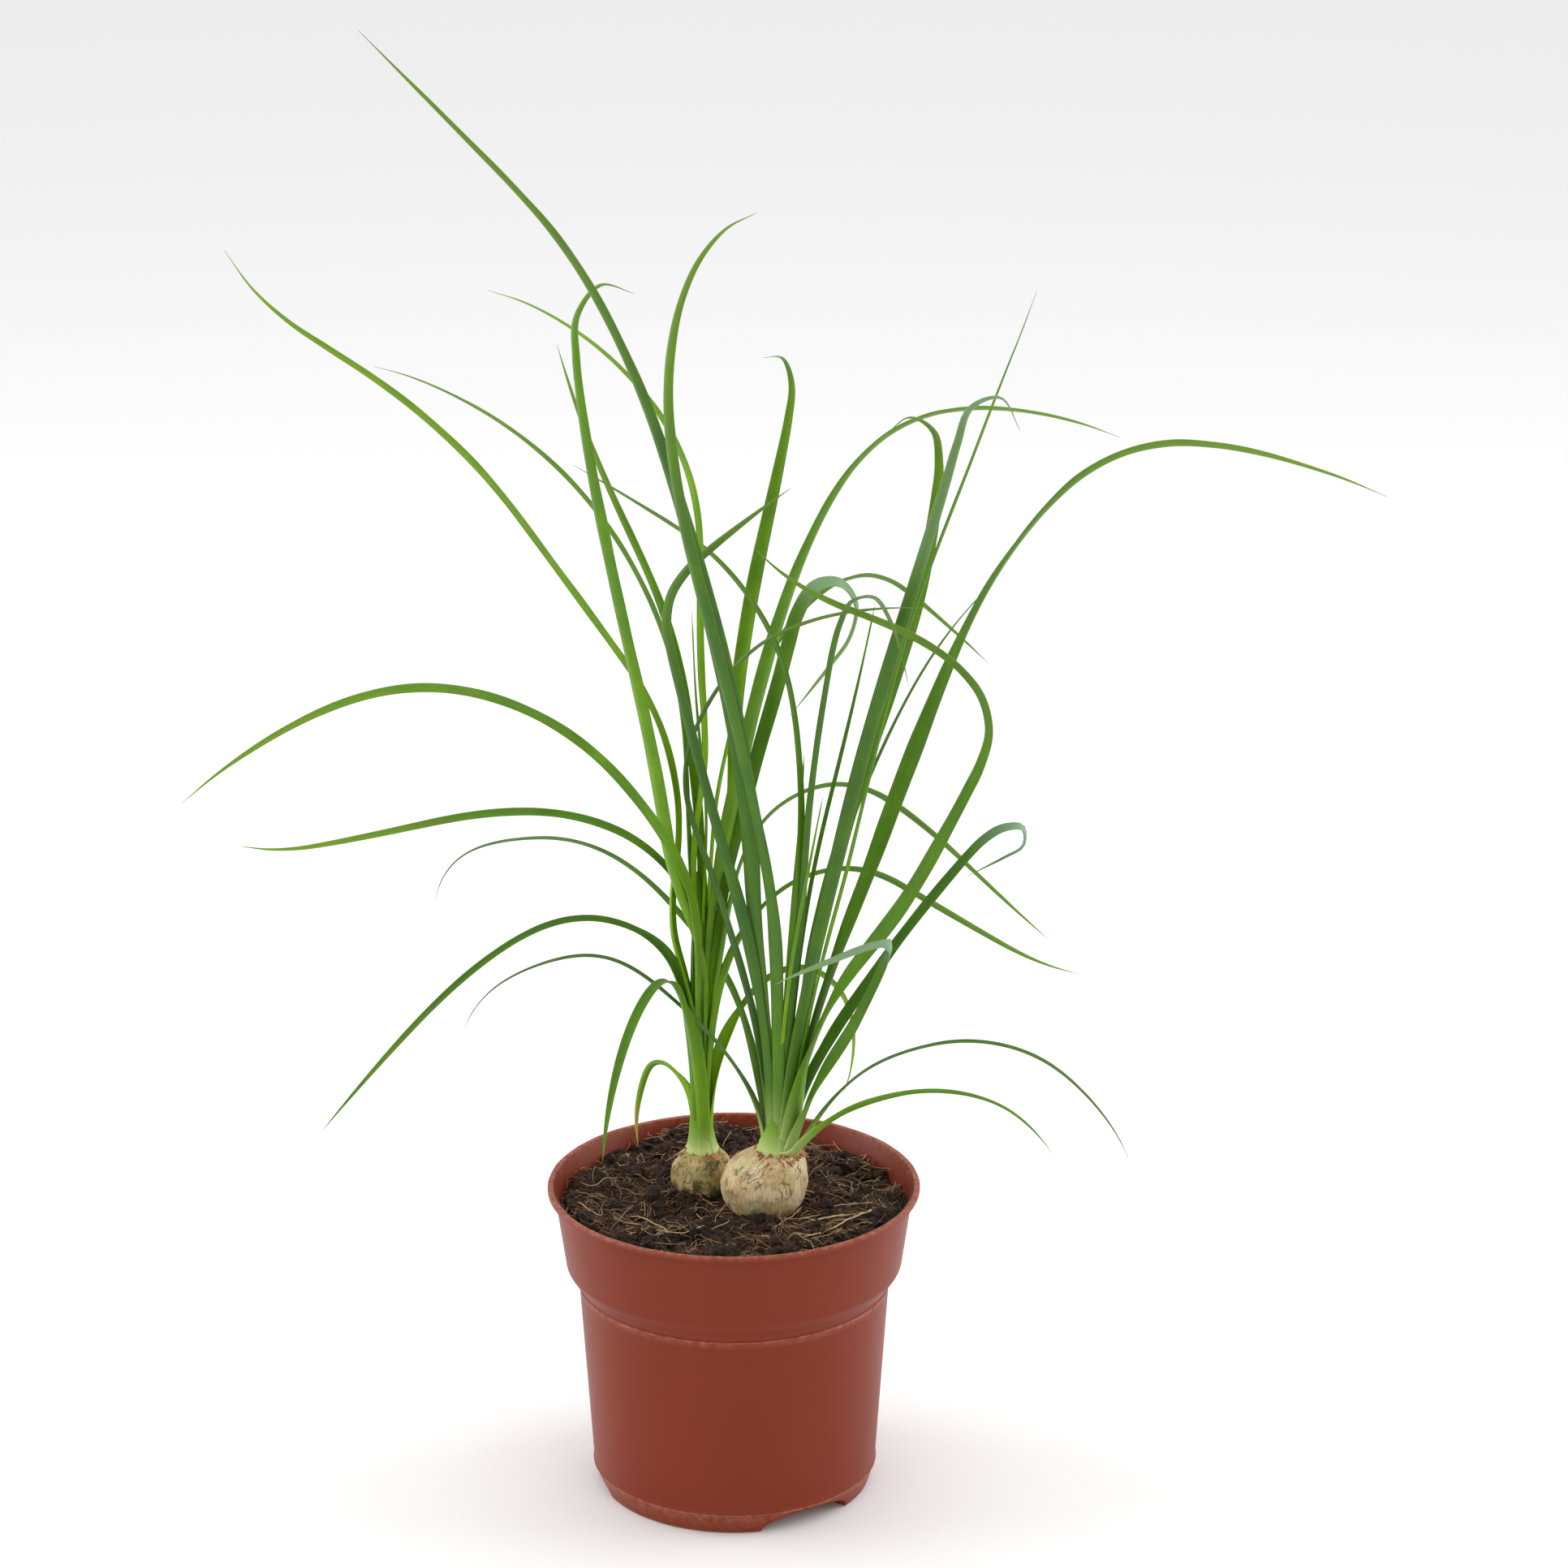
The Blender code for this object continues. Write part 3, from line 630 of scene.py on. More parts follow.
def peat(soil):
    """Peat and composted bark: matt brown-black crumbs in damp and drier patches, with painted shade down in
    the crumbs' hollows and paler tops.
    """
    made, tree, shader = new_material("damp_peat")
    shader.inputs["Specular IOR Level"].default_value = 0.2
    place = add_node(tree, "ShaderNodeTexCoord").outputs["Object"]
    patches = add_node(tree, "ShaderNodeTexNoise", {
        "Vector": place, "Scale": 1.0 / (11 * MM), "Detail": 5.0, "Roughness": 0.65})
    crumbs = add_node(tree, "ShaderNodeTexNoise", {
        "Vector": place, "Scale": 1.0 / (1.6 * MM), "Detail": 6.0, "Roughness": 0.7})
    mixed = add_node(tree, "ShaderNodeMix", {
        0: 0.5, 2: patches.outputs["Fac"], 3: crumbs.outputs["Fac"]}, data_type="FLOAT")
    # Colour follows the crumb grain that also drives the bump, so the crumbs are darkest down in their
    # hollows, a painted shade, and palest on their tops; the broad patches are damp and drier peat
    ramp = add_node(tree, "ShaderNodeValToRGB", {"Fac": mixed.outputs[0]},
                    stops=((0.42, soil.dark), (0.54, soil.brown), (0.7, soil.dry)))
    tree.links.new(ramp.outputs["Color"], shader.inputs["Base Color"])
    gloss = add_node(tree, "ShaderNodeMapRange", {
        "Value": patches.outputs["Fac"], "From Min": 0.35, "From Max": 0.65,
        "To Min": 0.55, "To Max": 0.95})
    tree.links.new(gloss.outputs["Result"], shader.inputs["Roughness"])
    bump = add_node(tree, "ShaderNodeBump", {
        "Height": crumbs.outputs["Fac"], "Strength": 0.9, "Distance": 0.7 * MM})
    tree.links.new(bump.outputs["Normal"], shader.inputs["Normal"])
    return made


def grainy_skin(name, grain_size, detail, stops, finish, grain_share=1.0, tooth=0.5, stretch=1.0):
    """A dull skin coloured by its grain, of a size in mm, and by each bit's own tone.

    The finish is its specular level and roughness, then how strongly and deeply, in mm, it is pitted.
    """
    made, tree, shader = new_material(name)
    specular, roughness, pitted, depth = finish
    shader.inputs["Specular IOR Level"].default_value = specular
    shader.inputs["Roughness"].default_value = roughness
    tone = add_node(tree, "ShaderNodeAttribute", attribute_name="tone")
    place = add_node(tree, "ShaderNodeTexCoord").outputs["Object"]
    upright = add_node(tree, "ShaderNodeMapping", {"Vector": place, "Scale": (1.0, 1.0, stretch)})
    grain = add_node(tree, "ShaderNodeTexNoise", {
        "Vector": upright.outputs["Vector"], "Scale": 1.0 / (grain_size * MM), "Detail": detail,
        "Roughness": tooth})
    mixed = add_node(tree, "ShaderNodeMix", {
        0: grain_share, 2: tone.outputs["Fac"], 3: grain.outputs["Fac"]}, data_type="FLOAT")
    ramp = add_node(tree, "ShaderNodeValToRGB", {"Fac": mixed.outputs[0]}, stops=stops)
    tree.links.new(ramp.outputs["Color"], shader.inputs["Base Color"])
    bump = add_node(tree, "ShaderNodeBump", {
        "Height": grain.outputs["Fac"], "Strength": pitted, "Distance": depth * MM})
    tree.links.new(bump.outputs["Normal"], shader.inputs["Normal"])
    return made


def coir(soil):
    """Coir: tan to red-brown hard fibres with a dull shine."""
    stops = ((0.1, soil.fibre_dark), (0.42, linear("#6b4a33")), (0.68, linear("#967659")), (0.88, soil.fibre))
    return grainy_skin("coir_fibre", 1.4, 3.0, stops, (0.2, 0.6, 0.4, 0.1), grain_share=0.25)


def bark():
    """Composted bark: dark flakes, split along the grain, with paler broken faces."""
    stops = tuple(zip((0.2, 0.6, 0.85, 1.0), map(linear, ("#1c120d", "#422b1d", "#6e4a33", "#8a6347"))))
    return grainy_skin("composted_bark", 0.9, 5.0, stops, (0.2, 0.72, 0.8, 0.3), grain_share=0.4, tooth=0.7)


def rootlet_skin():
    """A live root's smooth orange-brown skin."""
    stops = ((0.35, linear("#8a4a1c")), (0.65, linear("#c9813c")))
    return grainy_skin("rootlet_skin", 0.8, 3.0, stops, (0.5, 0.6, 0.0, 0.1))


def perlite():
    """Crushed perlite and salt dust: chalky pale specks."""
    stops = ((0.35, linear("#7b6650")), (0.6, linear("#b9a88e")))
    return grainy_skin("perlite_dust", 5.0, 3.0, stops, (0.2, 0.9, 0.5, 0.2))


def strewn_points(tree, given):
    """Points strewn over the ground, none of them against the wall."""
    room = add_node(tree, "GeometryNodeInputNamedAttribute", {"Name": "room"}, data_type="FLOAT")
    density = add_node(tree, "ShaderNodeMath", {
        0: room.outputs["Attribute"], 1: given["Density"]}, operation="MULTIPLY")
    return add_node(tree, "GeometryNodeDistributePointsOnFaces", {
        "Mesh": given["Geometry"], "Density": density.outputs[0], "Seed": given["Seed"]}).outputs["Points"]


def mark_each(tree, instances, name, low, high, seed):
    """Give each instance a random number of its own, kept under a name."""
    number = add_node(tree, "FunctionNodeRandomValue", {2: low, 3: high, "Seed": seed}, data_type="FLOAT")
    return add_node(tree, "GeometryNodeStoreNamedAttribute", {
        "Geometry": instances, "Name": name, "Value": number.outputs[1],
    }, data_type="FLOAT", domain="INSTANCE").outputs["Geometry"]


def uneven(tree, feature, distance, detail=2.0, level=0.5):
    """An offset that wanders with the place, by noise of a feature size."""
    where = add_node(tree, "GeometryNodeInputPosition")
    wander = add_node(tree, "ShaderNodeTexNoise", {
        "Vector": where.outputs[0], "Scale": feature, "Detail": detail})
    centred = add_node(tree, "ShaderNodeVectorMath", {
        0: wander.outputs["Color"], 1: (0.5, 0.5, level)}, operation="SUBTRACT")
    return add_node(tree, "ShaderNodeVectorMath", {
        0: centred.outputs[0], "Scale": distance}, operation="SCALE").outputs[0]


def moved_by(tree, instances, offset):
    """Instances made real and moved by an offset."""
    real = add_node(tree, "GeometryNodeRealizeInstances", {"Geometry": instances})
    return add_node(tree, "GeometryNodeSetPosition", {
        "Geometry": real.outputs["Geometry"], "Offset": offset}).outputs["Geometry"]


def end_tree(tree, geometry, given, result):
    """End a tree with a real mesh in the given material."""
    real = add_node(tree, "GeometryNodeRealizeInstances", {"Geometry": geometry})
    coated = add_node(tree, "GeometryNodeSetMaterial", {
        "Geometry": real.outputs["Geometry"], "Material": given["Material"]})
    tree.links.new(coated.outputs["Geometry"], result["Geometry"])
    return tree


def litter_tree(name, flat):
    """Uneven lumps strewn on the ground, or flat flakes most of which lie down."""
    tree, given, result = new_tree(name, {
        "Density": "Float", "Smallest": "Vector", "Largest": "Vector", "Roughen": "Float",
        "Feature": "Float", "Detail": "Int", "Seed": "Int", "Material": "Material"})
    if flat:
        lump = add_node(tree, "GeometryNodeMeshCube", {
            "Size": (1.0, 1.0, 1.0), "Vertices X": 4, "Vertices Y": 3, "Vertices Z": 2})
    else:
        lump = add_node(tree, "GeometryNodeMeshIcoSphere", {"Radius": 1.0, "Subdivisions": given["Detail"]})
    lean = 0.7 if flat else 3.14
    size = add_node(tree, "FunctionNodeRandomValue", {
        0: given["Smallest"], 1: given["Largest"], "Seed": given["Seed"]}, data_type="FLOAT_VECTOR")
    turn = add_node(tree, "FunctionNodeRandomValue", {
        0: (-lean, -lean, 0.0), 1: (lean, lean, 6.28), "Seed": 5}, data_type="FLOAT_VECTOR")
    placed = add_node(tree, "GeometryNodeInstanceOnPoints", {
        "Points": strewn_points(tree, given), "Instance": lump.outputs["Mesh"],
        "Rotation": turn.outputs[0], "Scale": size.outputs[0]})
    toned = mark_each(tree, placed.outputs["Instances"], "tone", 0.0, 1.0, 11)
    shaped = moved_by(tree, toned, uneven(tree, given["Feature"], given["Roughen"]))
    return end_tree(tree, shaped, given, result)


def fibre_tree():
    """Bent fibres strewn on the ground: straight lines warped by noise, then given thickness."""
    tree, given, result = new_tree("fibres", {
        "Density": "Float", "Shortest": "Float", "Longest": "Float", "Thinnest": "Float",
        "Thickest": "Float", "Bend": "Float", "Feature": "Float", "Limit": "Float", "Seed": "Int",
        "Material": "Material"})
    line = add_node(tree, "GeometryNodeCurvePrimitiveLine", {
        "Start": (-0.5, 0.0, 0.0), "End": (0.5, 0.0, 0.0)})
    fine = add_node(tree, "GeometryNodeResampleCurve", {"Curve": line.outputs["Curve"], "Count": 9})
    raw = add_node(tree, "FunctionNodeRandomValue", {
        2: 0.0, 3: 1.0, "Seed": given["Seed"]}, data_type="FLOAT")
    skew = add_node(tree, "ShaderNodeMath", {0: raw.outputs[1], 1: 2.2}, operation="POWER")
    size = add_node(tree, "ShaderNodeMapRange", {
        "Value": skew.outputs[0], "To Min": given["Shortest"], "To Max": given["Longest"]})
    scale = add_node(tree, "ShaderNodeCombineXYZ", {0: size.outputs["Result"], 1: 1.0, 2: 1.0})
    spin = add_node(tree, "FunctionNodeRandomValue", {
        0: (-0.35, -0.35, 0.0), 1: (0.35, 0.35, 6.28), "Seed": 21}, data_type="FLOAT_VECTOR")
    placed = add_node(tree, "GeometryNodeInstanceOnPoints", {
        "Points": strewn_points(tree, given), "Instance": fine.outputs["Curve"],
        "Rotation": spin.outputs[0], "Scale": scale.outputs[0]})
    toned = mark_each(tree, placed.outputs["Instances"], "tone", 0.0, 1.0, 17)
    sized = mark_each(tree, toned, "girth", given["Thinnest"], given["Thickest"], 31)
    bent = moved_by(tree, sized, uneven(tree, given["Feature"], given["Bend"], 1.5, 0.42))
    # Whatever would pass through the wall is pushed back inside it
    warped = add_node(tree, "GeometryNodeInputPosition")
    flat = add_node(tree, "ShaderNodeVectorMath", {
        0: warped.outputs[0], 1: (1.0, 1.0, 0.0)}, operation="MULTIPLY")
    away = add_node(tree, "ShaderNodeVectorMath", {0: flat.outputs[0]}, operation="LENGTH")
    ratio = add_node(tree, "ShaderNodeMath", {
        0: given["Limit"], 1: away.outputs["Value"]}, operation="DIVIDE")
    shrink = add_node(tree, "ShaderNodeMath", {0: ratio.outputs[0], 1: 1.0}, operation="MINIMUM")
    apart = add_node(tree, "ShaderNodeCombineXYZ", {0: shrink.outputs[0], 1: shrink.outputs[0], 2: 1.0})
    inside = add_node(tree, "ShaderNodeVectorMath", {
        0: warped.outputs[0], 1: apart.outputs[0]}, operation="MULTIPLY")
    penned = add_node(tree, "GeometryNodeSetPosition", {
        "Geometry": bent, "Position": inside.outputs[0]})
    kept_girth = add_node(tree, "GeometryNodeInputNamedAttribute", {"Name": "girth"}, data_type="FLOAT")
    thick = add_node(tree, "GeometryNodeSetCurveRadius", {
        "Curve": penned.outputs["Geometry"], "Radius": kept_girth.outputs["Attribute"]})
    ring = add_node(tree, "GeometryNodeCurvePrimitiveCircle", {"Resolution": 4, "Radius": 1.0})
    radius = add_node(tree, "GeometryNodeInputRadius")
    tubes = add_node(tree, "GeometryNodeCurveToMesh", {
        "Curve": thick.outputs["Curve"], "Profile Curve": ring.outputs["Curve"],
        "Scale": radius.outputs[0], "Fill Caps": True})
    return end_tree(tree, tubes.outputs["Mesh"], given, result)


# Single strands lying on the soil, as (x, y, height above the soil) in mm, then the thickness
STRAWS = (
    (((24, -30, 1.2), (33, -25, 1.6), (43, -18, 1.4), (50, -9, 1.0)), 0.55),
    (((22, -41, 0.8), (31, -35, 1.4), (38, -27, 1.8), (49, -20, 1.6)), 0.5),
    (((27, -13, 1.0), (36, -12, 1.2), (46, -12, 0.9)), 0.32),
    (((-33, -22, 1.0), (-28, -29, 1.6), (-20, -38, 1.0)), 0.3),
    (((-37, 12, 0.6), (-41, 8, 1.4), (-46, 5, 2.6), (-50, 1, 5.5)), 0.26),
    (((-24, -36, 0.8), (-16, -37, 1.2), (-9, -35, 0.9)), 0.3),
    (((12, -27, 0.6), (18, -21, 1.4), (22, -14, 3.8)), 0.28),
    (((24, 12, 0.5), (26, 9, 5.0), (29, 7, 9.0)), 0.26),
    (((-50, -10, 0.8), (-44, -17, 1.4), (-37, -22, 0.8)), 0.34),
    (((-4, 34, 0.5), (-3, 33, 4.0), (-1, 33, 7.5)), 0.3),
)
ROOTLETS = (
    (((-3.2, -9.4, 0.2), (-3.6, -10.2, 2.2), (-1.8, -10.8, 3.0), (0.4, -10.4, 2.6)), 0.5),
    (((-1.4, -10.8, 2.8), (0.6, -11.2, 1.8), (1.4, -11.8, 0.4)), 0.42),
)
TWIGS = (
    (((28, 29, 0.8), (36, 25, 1.8), (43, 22, 1.2)), 1.1),
    (((36, 12, 1.0), (44, 8, 1.8), (51, 6, 1.4)), 1.0),
    (((30, 4, 0.8), (35, 1, 1.4), (38, -3, 0.8)), 0.8),
)


def strand_mesh(name, strands, soil, tone):
    """Bent round strands lying on the soil, each thinning to both ends."""
    sides, count = 7, 26
    points, faces = [], []
    for seed, (path, thickness) in enumerate(strands):
        places = [(x, y, soil_height(soil, x, y) + z + 1.4) for x, y, z in path]
        line = smooth_rows(np.array(places, float), count)
        for point in line:
            spot = Vector(point) / 4.0 + Vector((seed, 0.0, 0.0))
            point += [0.5 * noise.noise(spot + Vector((0.0, 0.0, 31.7 * axis))) for axis in range(3)]
        tangent = unit(np.gradient(line, axis=0))
        side = unit(np.cross(tangent, (0.1, 0.2, 1.0)))
        up = np.cross(side, tangent)
        shares = np.linspace(0.0, 1.0, count)
        radii = thickness / 2 * np.clip(np.minimum(shares, 1.0 - shares) * 9.0 + 0.25, 0.0, 1.0)
        turns = np.arange(sides) * 2.0 * math.pi / sides
        first = len(points)
        for place, a, b, radius in zip(line, side, up, radii):
            points += [place + (a * math.cos(t) + b * math.sin(t)) * radius for t in turns]
        faces += [tuple(first + v for v in face) for face in ring_faces(count, sides)]
        faces += [tuple(first + v for v in range(sides))[::-1],
                  tuple(first + (count - 1) * sides + v for v in range(sides))]
    return outward(new_mesh(name, points, faces, {"tone": np.full(len(points), tone)}))


class PALM_OT_soil(Operator):
    """Make the soil bed and the crumbs, fibres, bark and specks on it"""

    bl_idname = "palm.soil"
    bl_label = "Soil"

    def execute(self, context):
        soil, pot = context.scene.palm_soil, context.scene.palm_pot
        bed, ground = soil_bed(soil, pot)
        earth, fibres, flakes = peat(soil), coir(soil), bark()
        settle(new_piece("soil_bed", bed, earth), "potting_soil", "soil")
        area = math.pi * (LITTER_REACH * MM) ** 2
        crumbs, chips = litter_tree("crumbs", False), litter_tree("chips", True)
        scatter("soil_crumbs", ground, crumbs, {
            "Density": soil.crumb_count / area, "Smallest": (0.9 * MM,) * 3, "Largest": (2.9 * MM,) * 3,
            "Roughen": 1.5 * MM, "Feature": 1.0 / (1.7 * MM), "Detail": 2, "Seed": 3, "Material": earth,
        }, "potting_soil")
        scatter("soil_grains", ground, crumbs, {
            "Density": soil.grain_count / area, "Smallest": (0.3 * MM,) * 3, "Largest": (1.0 * MM,) * 3,
            "Roughen": 0.6 * MM, "Feature": 1.0 / (0.7 * MM), "Detail": 1, "Seed": 4, "Material": earth,
        }, "potting_soil")
        scatter("perlite_specks", ground, crumbs, {
            "Density": soil.speck_count / area, "Smallest": (0.12 * MM,) * 3, "Largest": (0.36 * MM,) * 3,
            "Roughen": 0.15 * MM, "Feature": 1.0 / (0.4 * MM), "Detail": 1, "Seed": 5,
            "Material": perlite(),
        }, "potting_soil")
        scatter("bark_chips", ground, chips, {
            "Density": soil.chip_count / area, "Smallest": (1.6 * MM, 0.9 * MM, 0.4 * MM),
            "Largest": (6.0 * MM, 2.6 * MM, 1.1 * MM), "Roughen": 1.6 * MM, "Feature": 1.0 / (1.8 * MM),
            "Detail": 1, "Seed": 6, "Material": flakes,
        }, "potting_soil")
        scatter("coir_fibres", ground, fibre_tree(), {
            "Density": soil.fibre_count / area, "Shortest": 3.0 * MM, "Longest": 26.0 * MM,
            "Thinnest": 0.06 * MM, "Thickest": 0.15 * MM, "Bend": 9.0 * MM, "Feature": 1.0 / (9.0 * MM),
            "Limit": FIBRE_REACH * MM, "Seed": 7, "Material": fibres,
        }, "potting_soil")
        settle(new_piece("loose_straws", strand_mesh("straws", STRAWS, soil, 1.0), fibres), "potting_soil")
        settle(new_piece("loose_twigs", strand_mesh("twigs", TWIGS, soil, 0.1), flakes), "potting_soil")
        rootlets = strand_mesh("rootlets", ROOTLETS, soil, 0.7)
        settle(new_piece("rootlets", rootlets, rootlet_skin()), "potting_soil")
        return {"FINISHED"}


# Swollen stem bases


class Bulb:
    """One stem base's sizes in mm, and its place from its CAD node."""

    def __init__(self, bulbs, side):
        low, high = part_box(side + "_bulb")
        self.radius = (high.y - low.y) / 2 / MM
        self.x = low.x / MM + self.radius
        self.y = (high.y + low.y) / 2 / MM
        self.widest = getattr(bulbs, side + "_widest") / MM
        self.crown_height = getattr(bulbs, side + "_crown_height") / MM
        self.crown = getattr(bulbs, side + "_crown") / MM
        self.lean = getattr(bulbs, side + "_lean") / MM
        self.ground = high.z / MM - self.crown_height

    def lean_at(self, height):
        """How far the middle has leant at a height above the soil."""
        share = min(1.0, max(0.0, (height - self.widest) / (self.crown_height - self.widest)))
        return self.lean * share ** 2

    def crown_centre(self):
        """Middle of the crown."""
        return np.array([self.x + self.lean, self.y, self.ground + self.crown_height])


def bulb_mesh(bulbs, side):
    """A stem base with its skin cracked upright above and wrinkled level near the soil."""
    bulb = Bulb(bulbs, side)
    steps, rows = 260, 170
    top = math.acos(bulb.crown / bulb.radius)
    rise = (bulb.crown_height - bulb.widest) / math.sin(top)
    depth = bulbs.crack_depth / MM
    points, crack, moss, pale = [], [], [], []
    seed = 0.0 if side == "left" else 40.0
    for row in range(rows):
        share = row / (rows - 1)
        polar = between(top + 0.05, -math.pi / 2 + 0.02, share)
        tall = rise if polar > 0 else bulb.radius
        height = bulb.widest + tall * math.sin(polar)
        for i in range(steps):
            heading = 2.0 * math.pi * i / steps
            out = (math.cos(polar) * math.cos(heading), math.cos(polar) * math.sin(heading))
            x, y = out[0] * bulb.radius, out[1] * bulb.radius
            spot = Vector((x, y, height))
            # Upright cracks: thin creases of noise drawn out along the height, bent a little
            bend = 1.6 * noise.noise(spot / 6.0)
            upright = Vector(((x + bend) / 1.7, (y + bend) / 1.7, height / 7.0 + seed))
            level = Vector((x / 4.0, y / 4.0, (height + bend) / 0.9 + seed))
            low_down = ease((bulb.widest - height) / (0.75 * bulb.radius) + 0.25)
            patch = ease(noise.noise(spot / 5.0 + Vector((seed, 9.0, 0.0))) * 2.2 + 0.35)
            split = max((1.0 - abs(noise.noise(upright)) * 5.5) * (1.0 - low_down),
                        (1.0 - abs(noise.noise(level)) * 4.5) * low_down)
            split = ease(split) * patch
            fine = noise.fractal(Vector((x / 0.55, y / 0.55, height / 5.0 + seed)), 1.0, 2.0, 2)
            lump = noise.fractal(spot / 7.0 + Vector((seed, 0.0, 0.0)), 1.0, 2.0, 2)
            swell = 0.45 * lump + 0.06 * fine - depth * split
            reach = bulb.radius + swell
            points.append((
                bulb.x + out[0] * reach + bulb.lean_at(height),
                bulb.y + out[1] * reach,
                bulb.ground + height + swell * math.sin(polar),
            ))
            crack.append(min(1.0, split + max(0.0, -fine) * 0.45))
            grows = noise.fractal(spot / 4.4 + Vector((3.0, seed, 1.0)), 0.8, 2.0, 4)
            algae = (0.3 if side == "left" else -0.4) + 0.45 * low_down
            if side == "left":
                algae -= 0.5 * ease((height - bulb.widest - 3.0) / 5.0)
            moss.append(ease(grows * 1.8 + algae))
            pale.append(ease(0.5 + 1.4 * noise.fractal(spot / 6.5 + Vector((seed, 2.0, 5.0)), 1.0, 2.0, 3)))
    points += [
        (bulb.x + bulb.lean, bulb.y, bulb.ground + bulb.crown_height + 0.2),
        (bulb.x, bulb.y, bulb.ground + bulb.widest - bulb.radius),
    ]
    attributes = {"crack": crack + [0.0] * 2, "moss": moss + [0.0] * 2, "pale": pale + [0.5] * 2}
    return outward(new_mesh(side + "_bulb", points, capped_faces(rows, steps), attributes))


def cork_skin(bulbs, side):
    """Dry corky stem skin: matt tan flakes over olive, darker down in the cracks, algae in patches."""
    made, tree, shader = new_material(side + "_corky_skin")
    place = add_node(tree, "ShaderNodeTexCoord").outputs["Object"]
    crack = add_node(tree, "ShaderNodeAttribute", attribute_name="crack")
    moss = add_node(tree, "ShaderNodeAttribute", attribute_name="moss")
    pale = add_node(tree, "ShaderNodeAttribute", attribute_name="pale")
    upright = add_node(tree, "ShaderNodeMapping", {"Vector": place, "Scale": (1.0, 1.0, 0.22)})
    fibres = add_node(tree, "ShaderNodeTexNoise", {
        "Vector": upright.outputs["Vector"], "Scale": 1.0 / (0.55 * MM), "Detail": 4.0, "Roughness": 0.65})
    ground_tone = bulbs.skin_olive if side == "left" else bulbs.skin
    base = add_node(tree, "ShaderNodeMix", {
        0: pale.outputs["Fac"], 6: (*ground_tone, 1.0),
        7: (*(bulbs.skin if side == "left" else bulbs.skin_pale), 1.0)}, data_type="RGBA")
    streak = add_node(tree, "ShaderNodeValToRGB", {"Fac": fibres.outputs["Fac"]},
                      stops=((0.3, linear("#b39a7c")), (0.55, linear("#ffffff")), (0.8, linear("#fff4dd"))))
    streaked = add_node(tree, "ShaderNodeMix", {
        0: 0.75, 6: base.outputs[2], 7: streak.outputs["Color"]}, data_type="RGBA", blend_type="MULTIPLY")
    # Living green shows through the skin in broad patches some 9 mm wide
    broad = add_node(tree, "ShaderNodeTexNoise", {
        "Vector": place, "Scale": 1.0 / (9 * MM), "Detail": 2.0, "Roughness": 0.5})
    living = add_node(tree, "ShaderNodeMapRange", {
        "Value": broad.outputs["Fac"], "From Min": 0.5, "From Max": 0.68, "To Max": 0.6})
    greened = add_node(tree, "ShaderNodeMix", {
        0: living.outputs["Result"], 6: streaked.outputs[2], 7: (*bulbs.sap, 1.0)}, data_type="RGBA")
    shaded = add_node(tree, "ShaderNodeMath", {0: crack.outputs["Fac"], 1: 0.85}, operation="MULTIPLY")
    cracked = add_node(tree, "ShaderNodeMix", {
        0: shaded.outputs[0], 6: greened.outputs[2], 7: (*bulbs.crack, 1.0)}, data_type="RGBA")
    speckle = add_node(tree, "ShaderNodeTexNoise", {
        "Vector": place, "Scale": 1.0 / (0.9 * MM), "Detail": 4.0, "Roughness": 0.75})
    grown = add_node(tree, "ShaderNodeMath", {
        0: moss.outputs["Fac"], 1: speckle.outputs["Fac"]}, operation="MULTIPLY")
    algae = add_node(tree, "ShaderNodeMapRange", {
        "Value": grown.outputs[0], "From Min": 0.28, "From Max": 0.52,
        "To Max": 0.85 if side == "left" else 0.5})
    mossy = add_node(tree, "ShaderNodeMix", {
        0: algae.outputs["Result"], 6: cracked.outputs[2], 7: (*bulbs.moss, 1.0)}, data_type="RGBA")
    tree.links.new(mossy.outputs[2], shader.inputs["Base Color"])
    gloss = add_node(tree, "ShaderNodeMapRange", {
        "Value": fibres.outputs["Fac"], "To Min": 0.5, "To Max": 0.75})
    tree.links.new(gloss.outputs["Result"], shader.inputs["Roughness"])
    bump = add_node(tree, "ShaderNodeBump", {
        "Height": fibres.outputs["Fac"], "Strength": 0.7, "Distance": 0.25 * MM})
    tree.links.new(bump.outputs["Normal"], shader.inputs["Normal"])
    return made


def papery_husk():
    """Old leaf bases dried to paper: orange-brown, thin, frayed along the grain."""
    stops = ((0.2, linear("#7d4424")), (0.5, linear("#b07748")), (0.8, linear("#d2b688")))
    return grainy_skin(
        "papery_husk", 0.4, 4.0, stops, (0.5, 0.65, 0.5, 0.12), grain_share=0.5, stretch=0.2)


# Papery scales round a crown: how far below its top they stand and how tall the tallest is, in mm,
# how far they lean out in radians (past a quarter turn they hang down), and their seed
SCALES = (("husks", 1.0, 2.6, 0.28, 2), ("scales", 0.5, 4.4, 2.05, 9))
SCALE_COUNTS = {"left": 15, "right": 26}


